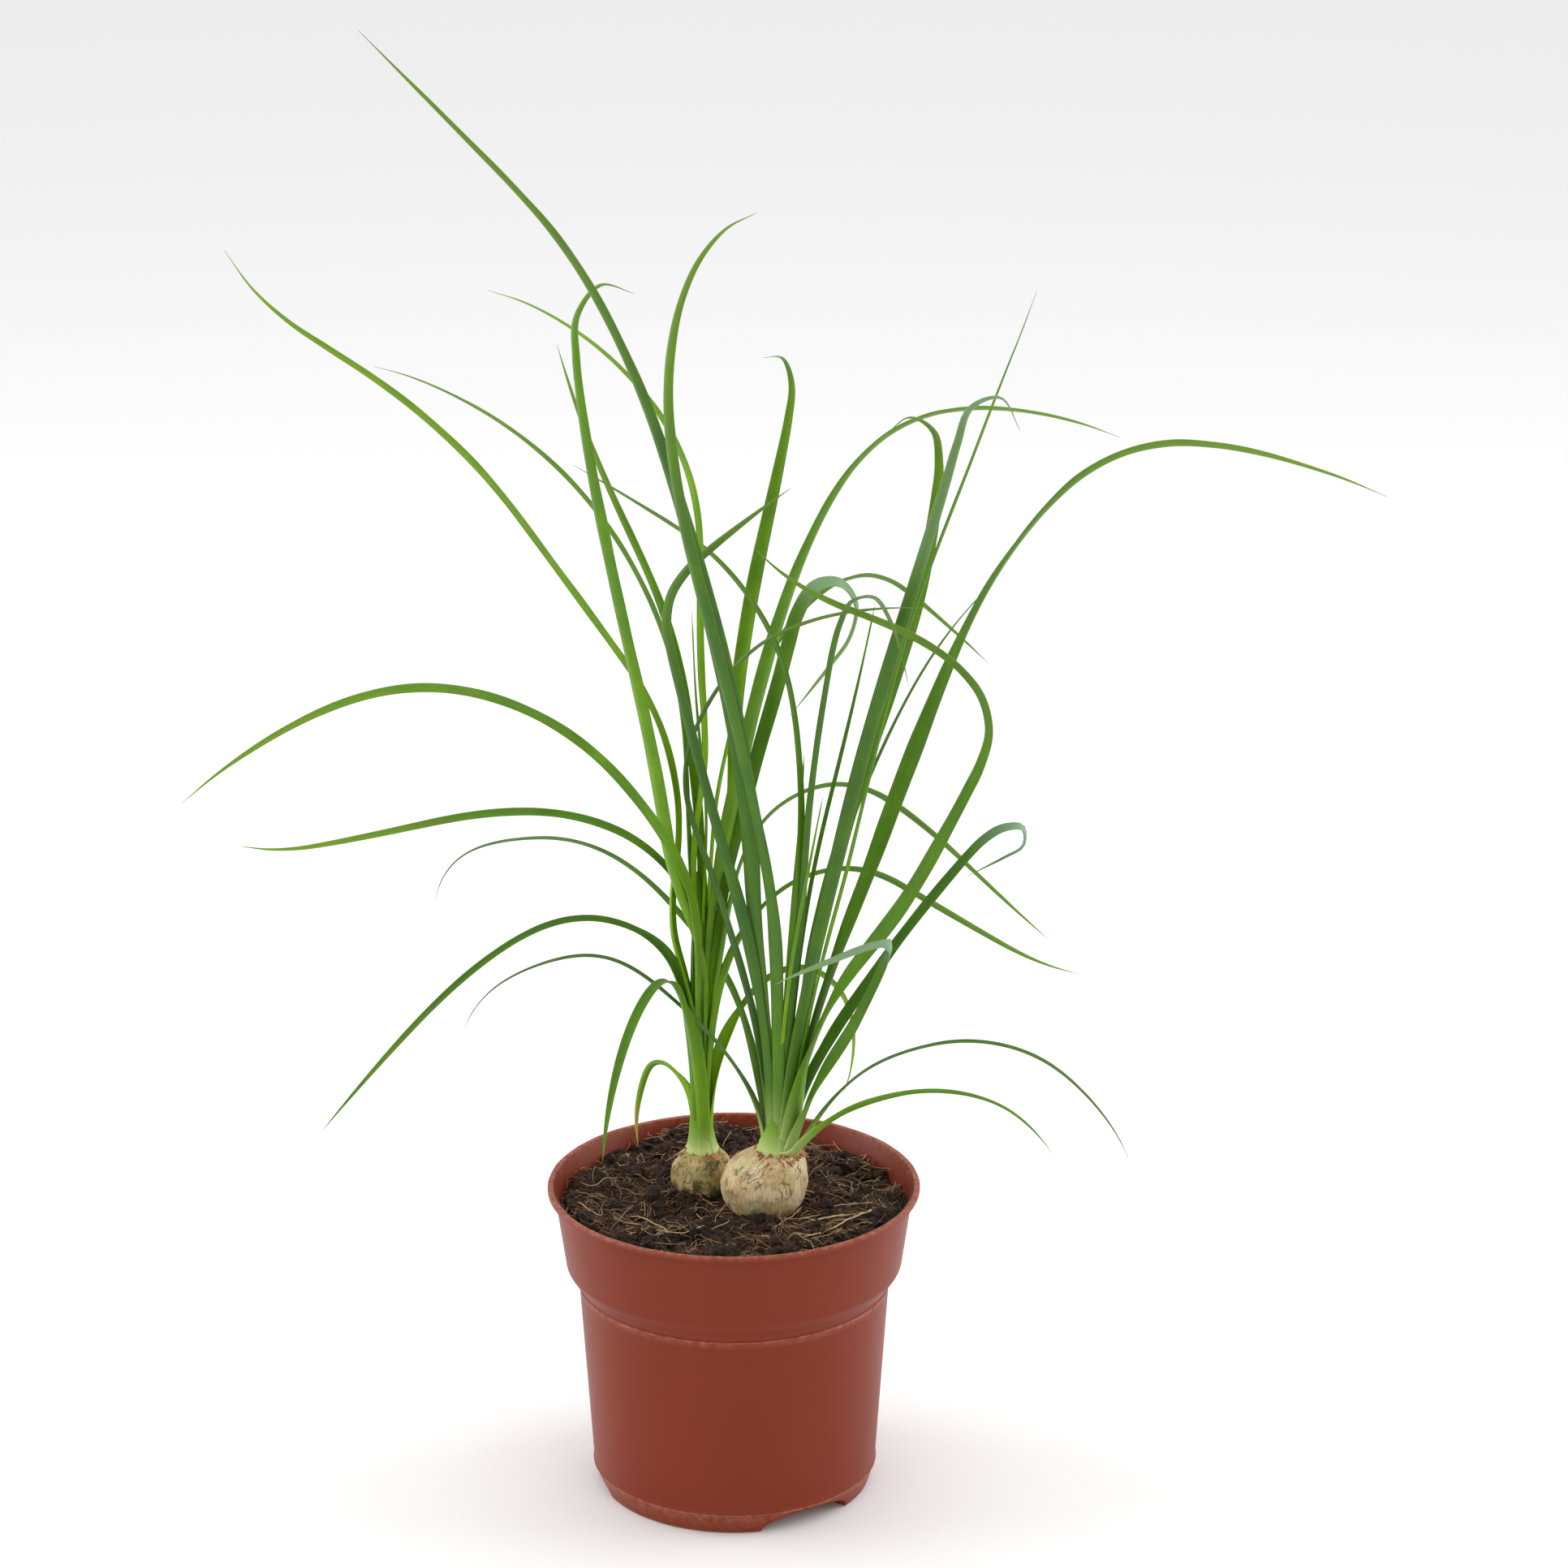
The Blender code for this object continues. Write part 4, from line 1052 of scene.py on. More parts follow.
def husk_tree():
    """Pointed scales standing round a ring, each a tapered, curled flake."""
    tree, given, result = new_tree("husks", {
        "Count": "Int", "Radius": "Float", "Centre": "Vector", "Tallest": "Float", "Width": "Float",
        "Flare": "Float", "Seed": "Int", "Material": "Material"})
    ring = add_node(tree, "GeometryNodeCurvePrimitiveCircle", {
        "Resolution": given["Count"], "Radius": given["Radius"]})
    flake = add_node(tree, "GeometryNodeMeshCube", {
        "Size": (1.0, 1.0, 1.0), "Vertices X": 2, "Vertices Y": 4, "Vertices Z": 6})
    where = add_node(tree, "GeometryNodeInputPosition")
    parts = add_node(tree, "ShaderNodeSeparateXYZ", {0: where.outputs[0]})
    raised = add_node(tree, "ShaderNodeMath", {0: parts.outputs["Z"], 1: 0.5}, operation="ADD")
    taper = add_node(tree, "ShaderNodeMapRange", {
        "Value": raised.outputs[0], "To Min": 1.0, "To Max": 0.08})
    narrow = add_node(tree, "ShaderNodeMath", {
        0: parts.outputs["Y"], 1: taper.outputs["Result"]}, operation="MULTIPLY")
    squared = add_node(tree, "ShaderNodeMath", {0: narrow.outputs[0], 1: 2.0}, operation="POWER")
    curl = add_node(tree, "ShaderNodeMath", {0: squared.outputs[0], 1: -4.0}, operation="MULTIPLY")
    inward = add_node(tree, "ShaderNodeMath", {
        0: parts.outputs["X"], 1: curl.outputs[0]}, operation="ADD")
    point = add_node(tree, "ShaderNodeCombineXYZ", {
        0: inward.outputs[0], 1: narrow.outputs[0], 2: raised.outputs[0]})
    pointed = add_node(tree, "GeometryNodeSetPosition", {
        "Geometry": flake.outputs["Mesh"], "Position": point.outputs[0]})
    points = add_node(tree, "GeometryNodeCurveToPoints", {
        "Curve": ring.outputs["Curve"], "Count": given["Count"]}, mode="COUNT")
    spot = add_node(tree, "GeometryNodeInputPosition")
    xyz = add_node(tree, "ShaderNodeSeparateXYZ", {0: spot.outputs[0]})
    heading = add_node(tree, "ShaderNodeMath", {
        0: xyz.outputs["Y"], 1: xyz.outputs["X"]}, operation="ARCTAN2")
    sway = add_node(tree, "FunctionNodeRandomValue", {
        2: -0.35, 3: 0.35, "Seed": given["Seed"]}, data_type="FLOAT")
    turned = add_node(tree, "ShaderNodeMath", {0: heading.outputs[0], 1: sway.outputs[1]}, operation="ADD")
    turn = add_node(tree, "ShaderNodeCombineXYZ", {1: given["Flare"], 2: turned.outputs[0]})
    tall = add_node(tree, "FunctionNodeRandomValue", {
        2: 0.35, 3: 1.0, "Seed": given["Seed"]}, data_type="FLOAT")
    height = add_node(tree, "ShaderNodeMath", {
        0: tall.outputs[1], 1: given["Tallest"]}, operation="MULTIPLY")
    size = add_node(tree, "ShaderNodeCombineXYZ", {
        0: 0.28 * MM, 1: given["Width"], 2: height.outputs[0]})
    placed = add_node(tree, "GeometryNodeInstanceOnPoints", {
        "Points": points.outputs["Points"], "Instance": pointed.outputs["Geometry"],
        "Rotation": turn.outputs[0], "Scale": size.outputs[0]})
    toned = mark_each(tree, placed.outputs["Instances"], "tone", 0.0, 1.0, 19)
    shifted = add_node(tree, "ShaderNodeVectorMath", {
        0: uneven(tree, 1.0 / (1.6 * MM), 1.1 * MM), 1: given["Centre"]}, operation="ADD")
    return end_tree(tree, moved_by(tree, toned, shifted.outputs[0]), given, result)


class PALM_OT_bulbs(Operator):
    """Make the two swollen stem bases and the papery scales round their crowns"""

    bl_idname = "palm.bulbs"
    bl_label = "Stem bases"

    def execute(self, context):
        bulbs = context.scene.palm_bulbs
        husk, tree = papery_husk(), husk_tree()
        for side in SIDES:
            piece = new_piece(side + "_stem_base", bulb_mesh(bulbs, side), cork_skin(bulbs, side))
            settle(piece, "bulb_skin", side + "_bulb")
            bulb = Bulb(bulbs, side)
            centre = bulb.crown_centre() * MM
            for name, drop, tallest, flare, seed in SCALES:
                scatter(f"{side}_{name}", bpy.data.meshes.new("seed"), tree, {
                    "Count": SCALE_COUNTS[side], "Radius": (bulb.crown + 0.2) * MM,
                    "Centre": (centre[0], centre[1], centre[2] - drop * MM),
                    "Tallest": tallest * MM, "Width": 2.6 * MM, "Flare": flare, "Seed": seed,
                    "Material": husk,
                }, "bulb_skin")
        return {"FINISHED"}


# Leaves

# How each leaf looks, base of the crown outwards to the heart: age from bright young green to
# dark old green, waxy bloom together with the painted sheen on its bends and hooked tip, yellowing of the
# outer part and dryness of the tip, each 0 to 1
LEAF_LOOKS = {
    "left": (
        (0.30, 0.0, 1.0, 0.9), (0.55, 0.5, 0.1, 0.0), (0.30, 0.0, 0.7, 0.1), (0.75, 0.5, 0.2, 0.0),
        (0.45, 0.2, 0.3, 0.0), (0.50, 0.2, 0.4, 0.0), (0.55, 0.6, 0.5, 0.0), (0.42, 0.6, 0.4, 0.0),
        (0.55, 0.4, 0.3, 0.0), (0.22, 0.1, 0.3, 0.0), (0.45, 0.5, 0.2, 0.0), (0.40, 0.2, 0.4, 0.0),
        (0.38, 0.1, 0.2, 0.0), (0.42, 0.8, 0.2, 0.0), (0.32, 0.3, 0.1, 0.0), (0.14, 0.1, 0.2, 0.0),
        (0.24, 0.3, 0.1, 0.0), (0.08, 0.0, 0.2, 0.0), (0.06, 0.0, 0.2, 0.0),
    ),
    "right": (
        (0.50, 0.4, 0.2, 0.0), (0.85, 0.5, 0.0, 0.2), (0.90, 0.5, 0.0, 0.2), (0.80, 0.4, 0.0, 0.2),
        (0.75, 0.9, 0.4, 0.1), (0.75, 0.8, 0.1, 0.0), (0.60, 0.4, 0.5, 0.1), (0.62, 0.5, 0.4, 0.0),
        (0.70, 0.2, 0.1, 0.0), (0.48, 0.2, 0.2, 0.0), (0.90, 0.4, 0.3, 0.0), (0.82, 0.8, 0.2, 0.0),
        (0.60, 0.1, 0.2, 0.0), (0.45, 0.2, 0.2, 0.0), (0.85, 0.5, 0.2, 0.0), (0.90, 0.4, 0.3, 0.0),
        (0.78, 0.3, 0.4, 0.0), (0.80, 0.4, 0.4, 0.1), (0.30, 0.0, 0.1, 0.0), (0.30, 0.0, 0.1, 0.0),
        (0.60, 0.3, 0.1, 0.0),
    ),
}
# Where each plant's leaves start to open and are open, in mm along them, how far their bases are
# pressed together, and how fast in mm the pale heart fades upwards
OPENINGS = {"left": (58.0, 135.0), "right": (6.0, 62.0)}
PINCHES = {"left": 0.6, "right": 0.85}
HEARTS = {"left": 5.0, "right": 12.0}
# Each plant's neck: (radius, height above the crown) in mm, how many leaf bases lap round it, and
# its age as above
NECKS = {
    "left": ((
        (4.9, -1.2), (5.3, 0.0), (5.35, 0.6), (4.9, 1.2), (4.5, 2.6), (4.0, 5.0), (3.5, 9.0), (3.2, 16.0),
        (3.0, 26.0), (2.9, 38.0), (2.8, 52.0), (2.6, 66.0), (2.0, 80.0), (1.0, 94.0),
    ), 7, 0.28),
    "right": ((
        (6.2, -1.2), (6.5, 0.2), (6.3, 1.2), (5.8, 2.6), (5.3, 4.5), (4.5, 7.0), (3.6, 10.0), (2.6, 13.0),
        (1.5, 16.0), (0.5, 18.0),
    ), 8, 0.35),
}


def ribbon_rows(node):
    """Centre and half-width vector of each row of a CAD ribbon, base to tip, then its tip, in mm."""
    shape = bmesh.new()
    shape.from_mesh(node.data)
    bmesh.ops.remove_doubles(shape, verts=shape.verts, dist=1e-6)
    for start in shape.verts:
        layers, seen = [[start]], {start}
        while layers[-1]:
            found = {edge.other_vert(vert) for vert in layers[-1] for edge in vert.link_edges} - seen
            layers.append(sorted(found, key=lambda vert: vert.index))
            seen |= found
        if all(len(layer) == 4 for layer in layers[1:-1]):
            break
    else:
        raise RuntimeError(f"{node.name} is not a ribbon with one tip")
    rows = [np.array([vert.co for vert in layer]) / MM for layer in layers[1:-1]][::-1]
    tip = np.array(start.co) / MM
    shape.free()
    centres, sides = [], []
    thickness = None
    for row in rows:
        centre = row.mean(0)
        offsets = row - centre
        others = sorted(range(1, 4), key=lambda i: offsets[0] @ offsets[i])
        first, second = (offsets[0] + offsets[others[1]]) / 2, (offsets[0] + offsets[others[2]]) / 2
        sizes = np.linalg.norm(first), np.linalg.norm(second)
        if thickness is None:
            thickness = min(sizes)
        across = first if abs(sizes[1] - thickness) < abs(sizes[0] - thickness) else second
        if sides:
            close = abs(max(sizes) / min(sizes) - 1.0) < 0.5
            if close:
                last = sides[-1] / np.linalg.norm(sides[-1])
                across = max((first, second), key=lambda v: abs(v @ last) / np.linalg.norm(v))
            if across @ sides[-1] < 0.0:
                across = -across
        centres.append(centre)
        sides.append(across)
    return np.array(centres + [tip]), np.array(sides)


def smooth_rows(rows, count):
    """A smooth curve through evenly stepped rows, sampled evenly."""
    padded = np.concatenate([[2 * rows[0] - rows[1]], rows, [2 * rows[-1] - rows[-2]]])
    spot = np.linspace(0.0, len(rows) - 1.0, count)
    low = np.minimum(spot.astype(int), len(rows) - 2)
    t = (spot - low)[:, None]
    a, b, c, d = padded[low], padded[low + 1], padded[low + 2], padded[low + 3]
    return 0.5 * (2 * b + (c - a) * t + (2 * a - 5 * b + 4 * c - d) * t**2 + (3 * b - a - 3 * c + d) * t**3)


def unit(vectors):
    """Vectors made one long."""
    return vectors / np.linalg.norm(vectors, axis=-1, keepdims=True)


def blur(values, reach):
    """Values smoothed along a leaf over some rows."""
    weights = np.exp(-np.linspace(-2.0, 2.0, 2 * reach + 1) ** 2)
    padded = np.pad(values, reach, mode="edge")
    return np.convolve(padded, weights / weights.sum(), mode="valid")


class Blade:
    """One leaf row by row, base to tip, in mm: its line, its width and how it is folded."""

    def __init__(self, leaves, rows, crown, opening, pinch, seed):
        centres, sides = rows
        long = np.linalg.norm(np.diff(centres, axis=0), axis=1).sum()
        self.count = int(np.clip(long / (leaves.step / MM), 50, 210))
        self.widths = np.linalg.norm(sides, axis=1)
        self.line = smooth_rows(centres, self.count)
        side = smooth_rows(np.concatenate([unit(sides), unit(sides[-1:])]), self.count)
        self.tangent = unit(np.gradient(self.line, axis=0))
        side = unit(side - self.tangent * np.sum(side * self.tangent, 1)[:, None])
        face = np.cross(self.tangent, side)
        if face[0] @ (crown - self.line[0]) < 0.0:
            side, face = -side, -face
        steps = np.linalg.norm(np.diff(self.line, axis=0), axis=1)
        self.reach = np.concatenate([[0.0], np.cumsum(steps)])
        self.share = self.reach / self.reach[-1]
        turn = np.linalg.norm(np.gradient(self.tangent, axis=0), axis=1)
        turn /= np.maximum(np.gradient(self.reach), 1e-6)
        self.bent = blur(np.clip((turn - 0.04) / 0.12, 0.0, 1.0), 4)

        # The bases are pressed together, wrap the crown, then open into channels
        room = min(1.0, long / 240.0)
        pressed = between(pinch, 1.0, ease((self.reach / room - 25.0) / 80.0))[:, None]
        self.line[:, :2] = crown[:2] + (self.line[:, :2] - crown[:2]) * pressed
        start, end = opening
        self.opened = ease((self.reach - start * room) / ((end - start) * room))
        channel = between(leaves.cup, leaves.fold, ease((self.share - 0.3) / 0.3))
        self.wrap = between(leaves.clasp, channel, self.opened)
        self.half = self.half_widths(leaves, float(np.linalg.norm((self.line[0] - crown)[:2])), seed)
        twist = 0.10 * np.sin(self.reach / 31.0 + seed * 1.7) * self.opened
        self.side = side * np.cos(twist)[:, None] + face * np.sin(twist)[:, None]
        self.face = face * np.cos(twist)[:, None] - side * np.sin(twist)[:, None]
        self.line = self.line - self.tangent * (1.6 * (1.0 - ease(self.reach / 4.0)))[:, None]

    def half_widths(self, leaves, root, seed):
        """Half of the width of each row: broad where it clasps the crown, slim in its outer part."""
        widest = self.widths.max()
        half = smooth_rows(np.concatenate([self.widths, [0.05]])[:, None], self.count)[:, 0]
        half = np.maximum(half * (1.0 + 0.05 * np.sin(self.reach / 23.0 + seed)), 0.05)
        base_half = min(max(1.2, root) * leaves.clasp, 1.05 * widest + 1.4)
        full = between(base_half, 0.85 * widest, self.opened) * (1.0 - ease((self.share - 0.3) / 0.2))
        half = np.maximum(half, full)
        half *= between(1.0, leaves.slimming, ease((self.share - 0.25) / 0.3))
        return np.maximum(half, 0.28 * ease((1.0 - self.share) * 25.0) + 0.05)

    def marks(self, look, heart_reach):
        """What the skin shows along the leaf, a value for each row."""
        age, bloom_and_sheen, yellowing, dryness = look
        # Bends and the hooked tips of the most bloomed leaves are drawn pale grey-green: a painted sheen
        hook_sheen = max(0.0, bloom_and_sheen - 0.7) * 1.8 * ease((self.share - 0.7) / 0.06)
        bloom_and_sheen_mask = self.bent * (0.05 + 0.65 * bloom_and_sheen) + 0.01 * bloom_and_sheen + hook_sheen
        outer = 0.3 * ease((self.share - 0.3) / 0.45) * (1.0 - age)
        dried = ease((self.share - 1.0 + 0.3 * dryness) / 0.22)
        return {
            "heart": np.exp(-self.reach / heart_reach),
            "bloom_and_sheen_mask": np.clip(bloom_and_sheen_mask, 0.0, 1.0),
            "yellowing": ease((self.share - 0.55) / 0.4) * yellowing,
            "drying": dried * min(1.0, 3.0 * dryness),
            "age": age - 0.35 * np.exp(-self.reach / 30.0) + outer,
            "width": self.half,
        }


def leaf_mesh(leaves, name, blade, look, heart_reach, seed):
    """One channelled strap leaf with its keel underneath."""
    columns = 11
    across = np.linspace(-1.0, 1.0, columns)
    angles = across[None, :] * blade.wrap[:, None]
    bow = blade.half / blade.wrap
    ripple = np.sin(blade.reach / 6.3 + seed * 2.3) * np.sin(blade.reach / 17.0 + seed)
    ripple = leaves.ripple / MM * ripple * blade.opened * np.clip(blade.half / 2.5, 0.0, 1.0)
    lift = bow[:, None] * (1.0 - np.cos(angles)) + ripple[:, None] * (across[None, :] ** 3)
    side, face = blade.side[:, None, :], blade.face[:, None, :]
    middle = blade.line[:, None, :] + side * (bow[:, None] * np.sin(angles))[..., None]
    middle = middle + face * lift[..., None]
    upward = face * np.cos(angles)[..., None] - side * np.sin(angles)[..., None]
    swell = np.sqrt(np.clip(1.0 - across**2, 0.0, 1.0))
    slim = np.clip(blade.half, 0.25, 1.0)[:, None]
    thick = between(leaves.edge / MM, leaves.thickness / MM, swell)[None, :] * slim
    keel = 0.12 * np.exp(-(across / 0.16) ** 2)[None, :] * slim
    upper = middle + upward * (thick / 2)[..., None]
    lower = middle - upward * (thick / 2 + keel)[..., None]
    rings = np.concatenate([upper, lower[:, ::-1]], 1)
    size = 2 * columns
    points = np.concatenate([rings.reshape(-1, 3), blade.line[-1:] + blade.tangent[-1:] * 0.6])
    faces = ring_faces(blade.count, size)
    faces += [(i, size - 1 - i, size - 2 - i, i + 1) for i in range(columns - 1)]
    last = (blade.count - 1) * size
    faces += [(last + i, last + (i + 1) % size, len(points) - 1) for i in range(size)]
    attributes = {
        key: np.append(np.repeat(values, size), values[-1])
        for key, values in blade.marks(look, heart_reach).items()
    }
    both_faces = np.concatenate([across, across[::-1]])
    under = np.concatenate([np.zeros(columns), np.ones(columns)])
    attributes["across"] = np.append(np.tile(both_faces, blade.count), 0.0)
    attributes["under"] = np.append(np.tile(under, blade.count), 0.5)
    return outward(new_mesh(name, points, faces, attributes))


def leaf_skin(leaves):
    """A strap leaf's waxy skin: satin green with fine parallel veins, a grey painted sheen on bends and
    hooked tips with a little real bloom, and dry tips.
    """
    made, tree, shader = new_material("waxy_leaf_skin")
    place = add_node(tree, "ShaderNodeTexCoord").outputs["Object"]
    read = {
        name: add_node(tree, "ShaderNodeAttribute", attribute_name=name).outputs["Fac"]
        for name in ("across", "under", "heart", "bloom_and_sheen_mask", "yellowing", "drying", "age", "width")
    }
    cloud = add_node(tree, "ShaderNodeTexNoise", {
        "Vector": place, "Scale": 1.0 / (16 * MM), "Detail": 4.0, "Roughness": 0.6})
    # Veins run the whole length; real ones are some 0.3 mm apart, drawn a little coarser to show
    distance = add_node(tree, "ShaderNodeMath", {0: read["across"], 1: read["width"]}, operation="MULTIPLY")
    phase = add_node(tree, "ShaderNodeMath", {
        0: distance.outputs[0], 1: 2.0 * math.pi / (leaves.vein_gap / MM)}, operation="MULTIPLY")
    wander = add_node(tree, "ShaderNodeMath", {0: cloud.outputs["Fac"], 1: 3.0}, operation="MULTIPLY")
    shifted = add_node(tree, "ShaderNodeMath", {0: phase.outputs[0], 1: wander.outputs[0]}, operation="ADD")
    veins = add_node(tree, "ShaderNodeMath", {0: shifted.outputs[0]}, operation="SINE")
    vein = add_node(tree, "ShaderNodeMapRange", {
        "Value": veins.outputs[0], "From Min": -1.0, "From Max": 1.0})

    shift = add_node(tree, "ShaderNodeMapRange", {
        "Value": cloud.outputs["Fac"], "From Min": 0.3, "From Max": 0.7, "To Min": -0.12, "To Max": 0.12})
    aged = add_node(tree, "ShaderNodeMath", {0: read["age"], 1: shift.outputs["Result"]}, operation="ADD")
    green = add_node(tree, "ShaderNodeValToRGB", {"Fac": aged.outputs[0]}, stops=(
        (0.05, leaves.young), (0.5, leaves.grown), (0.95, leaves.old)))
    lined = add_node(tree, "ShaderNodeMix", {
        0: vein.outputs["Result"], 6: (0.72, 0.78, 0.70, 1.0), 7: (1.22, 1.18, 1.12, 1.0)}, data_type="RGBA")
    veined = add_node(tree, "ShaderNodeMix", {
        0: 1.0, 6: green.outputs["Color"], 7: lined.outputs[2]}, data_type="RGBA", blend_type="MULTIPLY")
    yellowed = add_node(tree, "ShaderNodeMix", {
        0: read["yellowing"], 6: veined.outputs[2], 7: (*leaves.yellow, 1.0)}, data_type="RGBA")
    # Pale grey-green on bends and hooked tips is a painted sheen, a painted reflection of the bright
    # surroundings; a faint real bloom lies everywhere and a little more on the underside
    below = add_node(tree, "ShaderNodeMath", {0: read["under"], 1: 0.03}, operation="MULTIPLY")
    bloom_and_sheen_sum = add_node(tree, "ShaderNodeMath", {0: read["bloom_and_sheen_mask"], 1: below.outputs[0]}, operation="ADD")
    patchy = add_node(tree, "ShaderNodeMapRange", {
        "Value": cloud.outputs["Fac"], "From Min": 0.3, "From Max": 0.65, "To Min": 0.65, "To Max": 1.1})
    bloom_and_sheen_shown = add_node(tree, "ShaderNodeMath", {
        0: bloom_and_sheen_sum.outputs[0], 1: patchy.outputs["Result"]}, operation="MULTIPLY", use_clamp=True)
    bloom_and_sheen = add_node(tree, "ShaderNodeMix", {
        0: bloom_and_sheen_shown.outputs[0], 6: yellowed.outputs[2], 7: (*leaves.bloom_and_sheen, 1.0)}, data_type="RGBA")
    pale = add_node(tree, "ShaderNodeMapRange", {
        "Value": read["heart"], "From Min": 0.15, "From Max": 0.95, "To Max": 0.92})
    hearted = add_node(tree, "ShaderNodeMix", {
        0: pale.outputs["Result"], 6: bloom_and_sheen.outputs[2], 7: (*leaves.heart, 1.0)}, data_type="RGBA")
    dried = add_node(tree, "ShaderNodeMix", {
        0: read["drying"], 6: hearted.outputs[2], 7: (*leaves.dry, 1.0)}, data_type="RGBA")
    edge = add_node(tree, "ShaderNodeMath", {0: read["across"]}, operation="ABSOLUTE")
    rim = add_node(tree, "ShaderNodeMapRange", {
        "Value": edge.outputs[0], "From Min": 0.88, "From Max": 0.99, "To Max": 0.3})
    rimmed = add_node(tree, "ShaderNodeMath", {
        0: rim.outputs["Result"], 1: read["age"]}, operation="MULTIPLY")
    margined = add_node(tree, "ShaderNodeMix", {
        0: rimmed.outputs[0], 6: dried.outputs[2], 7: (*leaves.margin, 1.0)}, data_type="RGBA")
    tree.links.new(margined.outputs[2], shader.inputs["Base Color"])
    gloss = add_node(tree, "ShaderNodeMapRange", {
        "Value": bloom_and_sheen_shown.outputs[0], "To Min": 0.4, "To Max": 0.6})
    tree.links.new(gloss.outputs["Result"], shader.inputs["Roughness"])
    bump = add_node(tree, "ShaderNodeBump", {
        "Height": vein.outputs["Result"], "Strength": 0.35, "Distance": 0.06 * MM})
    tree.links.new(bump.outputs["Normal"], shader.inputs["Normal"])
    shader.inputs["Specular IOR Level"].default_value = 0.13
    shader.inputs["Subsurface Weight"].default_value = 0.12
    shader.inputs["Subsurface Radius"].default_value = (0.5, 1.0, 0.2)
    shader.inputs["Subsurface Scale"].default_value = 1.0 * MM
    return made


def neck_mesh(name, bulb, profile, lines, bases, age):
    """The wrapped leaf bases round a plant's heart, from (radius, height above the crown) in mm."""
    steps = 168
    shares = np.arange(steps) / steps
    headings = shares * 2.0 * math.pi
    centre = bulb.crown_centre()
    rings, spread = [], []
    for radius, height in profile:
        spots = [
            [np.interp(centre[2] + height, line[:9, 2], line[:9, axis]) for axis in (0, 1)] for line in lines
        ]
        near = [spot for spot in spots if math.dist(spot, centre[:2]) < 6.0]
        middle = np.mean(near, axis=0) if near else centre[:2]
        middle = between(centre[:2], middle, ease(height / 12.0))
        turn = (shares * bases + height * 0.011) % 1.0
        lapped = radius + 0.34 * (1.0 - turn) * ease(turn * 9.0) * ease((radius - 0.4) / 2.0)
        rings.append(np.stack([
            middle[0] + lapped * np.cos(headings), middle[1] + lapped * np.sin(headings),
            np.full(steps, centre[2] + height),
        ], 1))
        spread.append(turn * 2.0 - 1.0)
    ends = [rings[0].mean(0), rings[-1].mean(0)]
    points = np.concatenate([*rings, ends])
    tall = np.maximum(points[:, 2] - centre[2], 0.0)
    zero = np.zeros(len(points))
    attributes = {
        "across": np.append(np.concatenate(spread), [0.0, 0.0]), "under": zero,
        "heart": np.exp(-tall / 5.5), "bloom_and_sheen_mask": zero, "yellowing": zero, "drying": zero,
        "age": between(age, age + 0.3, ease(tall / 40.0)), "width": zero + 3.5,
    }
    return outward(new_mesh(name, points, capped_faces(len(rings), steps), attributes))


class PALM_OT_leaves(Operator):
    """Make every strap leaf and the sheath at the foot of each plant's leaves"""

    bl_idname = "palm.leaves"
    bl_label = "Leaves"

    def execute(self, context):
        leaves, bulbs = context.scene.palm_leaves, context.scene.palm_bulbs
        skin = leaf_skin(leaves)
        for side in SIDES:
            bulb = Bulb(bulbs, side)
            lines = []
            for i, look in enumerate(LEAF_LOOKS[side]):
                name = f"{side}_leaf_{i + 1:02d}"
                rows = ribbon_rows(frame["nodes"][name])
                lines.append(rows[0])
                seed = i + 3.0
                blade = Blade(leaves, rows, bulb.crown_centre(), OPENINGS[side], PINCHES[side], seed)
                mesh = leaf_mesh(leaves, name, blade, look, HEARTS[side], seed)
                settle(new_piece(f"{side}_blade_{i + 1:02d}", mesh, skin), "leaf_green", name)
            profile, bases, age = NECKS[side]
            mesh = neck_mesh(side + "_neck", bulb, profile, lines, bases, age)
            settle(new_piece(side + "_neck", mesh, skin), "leaf_green")
        return {"FINISHED"}


# Stage

FLOOR_REACH = 9000.0  # in mm


def studio_paper(stage):
    """Seamless background paper: matt, pale, with a faint tooth."""
    made, tree, shader = new_material("background_paper")
    place = add_node(tree, "ShaderNodeTexCoord").outputs["Object"]
    tooth = add_node(tree, "ShaderNodeTexNoise", {"Vector": place, "Scale": 400.0, "Detail": 2.0})
    shade = add_node(tree, "ShaderNodeMapRange", {
        "Value": tooth.outputs["Fac"], "To Min": 0.97, "To Max": 1.0})
    toned = add_node(tree, "ShaderNodeMix", {
        0: 1.0, 6: (*stage.floor, 1.0), 7: shade.outputs["Result"]}, data_type="RGBA", blend_type="MULTIPLY")
    tree.links.new(toned.outputs[2], shader.inputs["Base Color"])
    shader.inputs["Roughness"].default_value = 0.9
    shader.inputs["Specular IOR Level"].default_value = 0.2
    return made


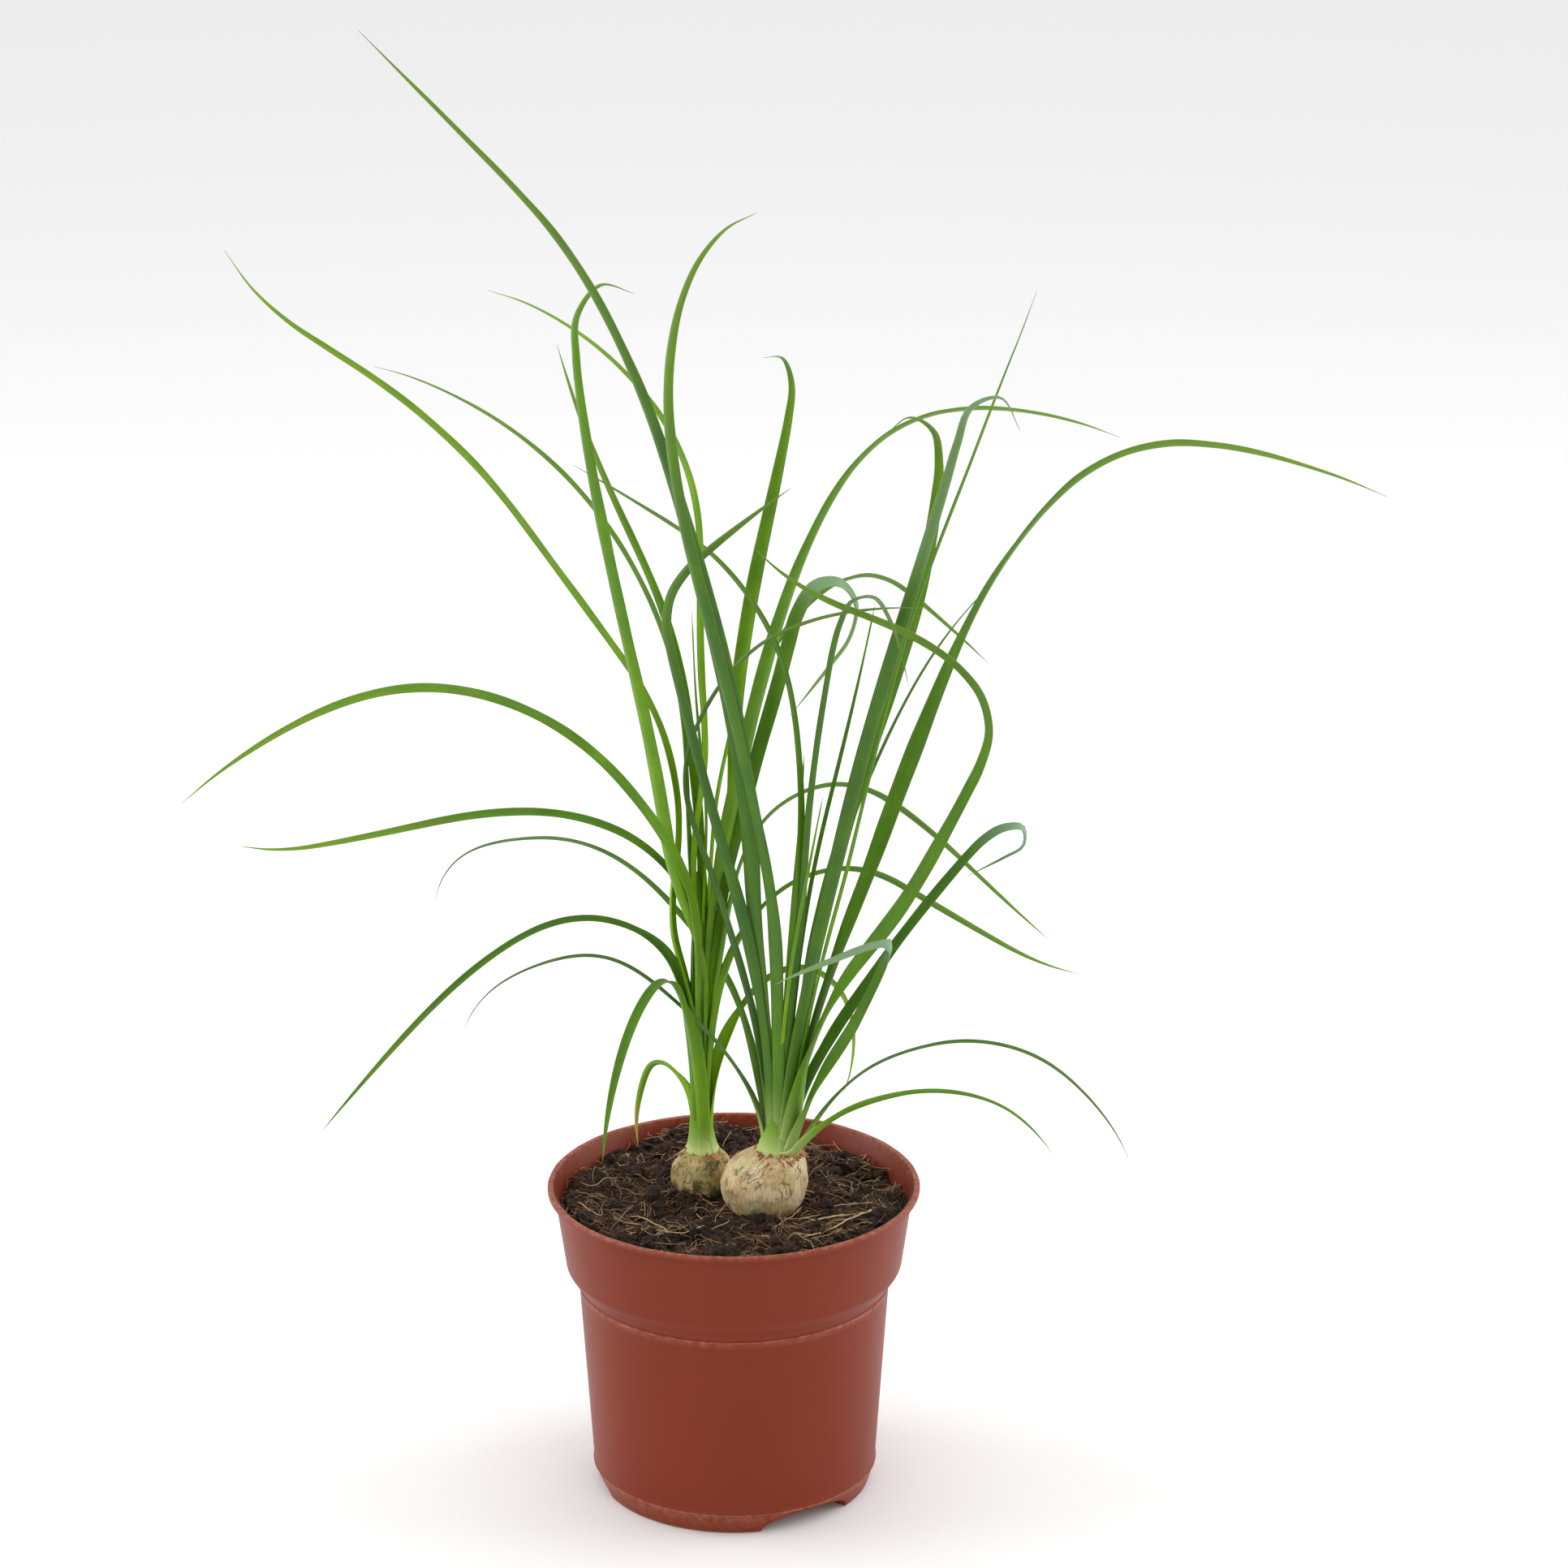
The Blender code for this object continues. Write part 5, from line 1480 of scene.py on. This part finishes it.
class PALM_OT_stage(Operator):
    """Make the camera, the floor and the soft studio light"""

    bl_idname = "palm.stage"
    bl_label = "Stage"

    def execute(self, context):
        scene, stage = context.scene, context.scene.palm_stage
        lens = bpy.data.cameras.new("camera")
        lens.lens = stage.lens
        lens.sensor_width = 36.0
        camera = bpy.data.objects.new("camera", lens)
        scene.collection.objects.link(camera)
        camera.location = (stage.camera_x, -stage.camera_y, stage.camera_z)
        camera.rotation_euler = (stage.camera_pitch, 0.0, 0.0)
        scene.camera = camera
        corners = [(x, y, 0.0) for x, y in ((-1, -1), (1, -1), (1, 1), (-1, 1))]
        mesh = new_mesh("floor", np.array(corners) * FLOOR_REACH, [(0, 1, 2, 3)])
        new_piece("floor", mesh, studio_paper(stage))
        middle = Vector((0.0, 0.0, 0.22))
        for name, place, size, power in (
            ("key", (-1.35, 0.15, 0.75), 1.0, stage.key),
            ("fill", (1.35, 0.2, 0.7), 1.0, stage.fill),
            ("top", (0.1, 0.3, 1.7), 1.2, stage.top),
        ):
            lamp = bpy.data.lights.new(name, "AREA")
            lamp.size = size
            lamp.energy = power
            softbox = bpy.data.objects.new(name, lamp)
            scene.collection.objects.link(softbox)
            softbox.location = place
            softbox.rotation_euler = (Vector(place) - middle).to_track_quat("Z", "Y").to_euler()
        world = bpy.data.worlds.new("studio")
        world.use_nodes = True
        sky = world.node_tree.nodes["Background"]
        sky.inputs["Color"].default_value = (1.0, 1.0, 1.0, 1.0)
        sky.inputs["Strength"].default_value = stage.sky
        scene.world = world
        scene.view_settings.view_transform = "Standard"
        return {"FINISHED"}


MAKERS = (PALM_OT_stage, PALM_OT_pot, PALM_OT_soil, PALM_OT_bulbs, PALM_OT_leaves)
SETTINGS = {
    "palm_pot": PalmPot, "palm_soil": PalmSoil, "palm_bulbs": PalmBulbs,
    "palm_leaves": PalmLeaves, "palm_stage": PalmStage,
}


class PALM_PT_panel(Panel):
    """The makers, in the order that they are run"""

    bl_idname = "PALM_PT_panel"
    bl_label = "Potted ponytail palm"
    bl_space_type = "VIEW_3D"
    bl_region_type = "UI"
    bl_category = "Palm"

    def draw(self, context):
        for maker in MAKERS:
            self.layout.operator(maker.bl_idname)


def register():
    """Add the settings, makers and panel."""
    for group in SETTINGS.values():
        bpy.utils.register_class(group)
    for name, group in SETTINGS.items():
        setattr(bpy.types.Scene, name, PointerProperty(type=group))
    for maker in (*MAKERS, PALM_PT_panel):
        bpy.utils.register_class(maker)


def unregister():
    """Take them away again."""
    for maker in (*MAKERS, PALM_PT_panel):
        bpy.utils.unregister_class(maker)
    for name, group in SETTINGS.items():
        delattr(bpy.types.Scene, name)
        bpy.utils.unregister_class(group)


def main():
    """Build everything round the frame."""
    register()
    kept = {*frame["nodes"].values(), *frame["bodies"].values()}
    for old in set(bpy.data.objects) - kept:
        bpy.data.objects.remove(old)
    for maker in MAKERS:
        group, name = maker.bl_idname.split(".")
        getattr(getattr(bpy.ops, group), name)()


if __name__ == "__main__":
    main()
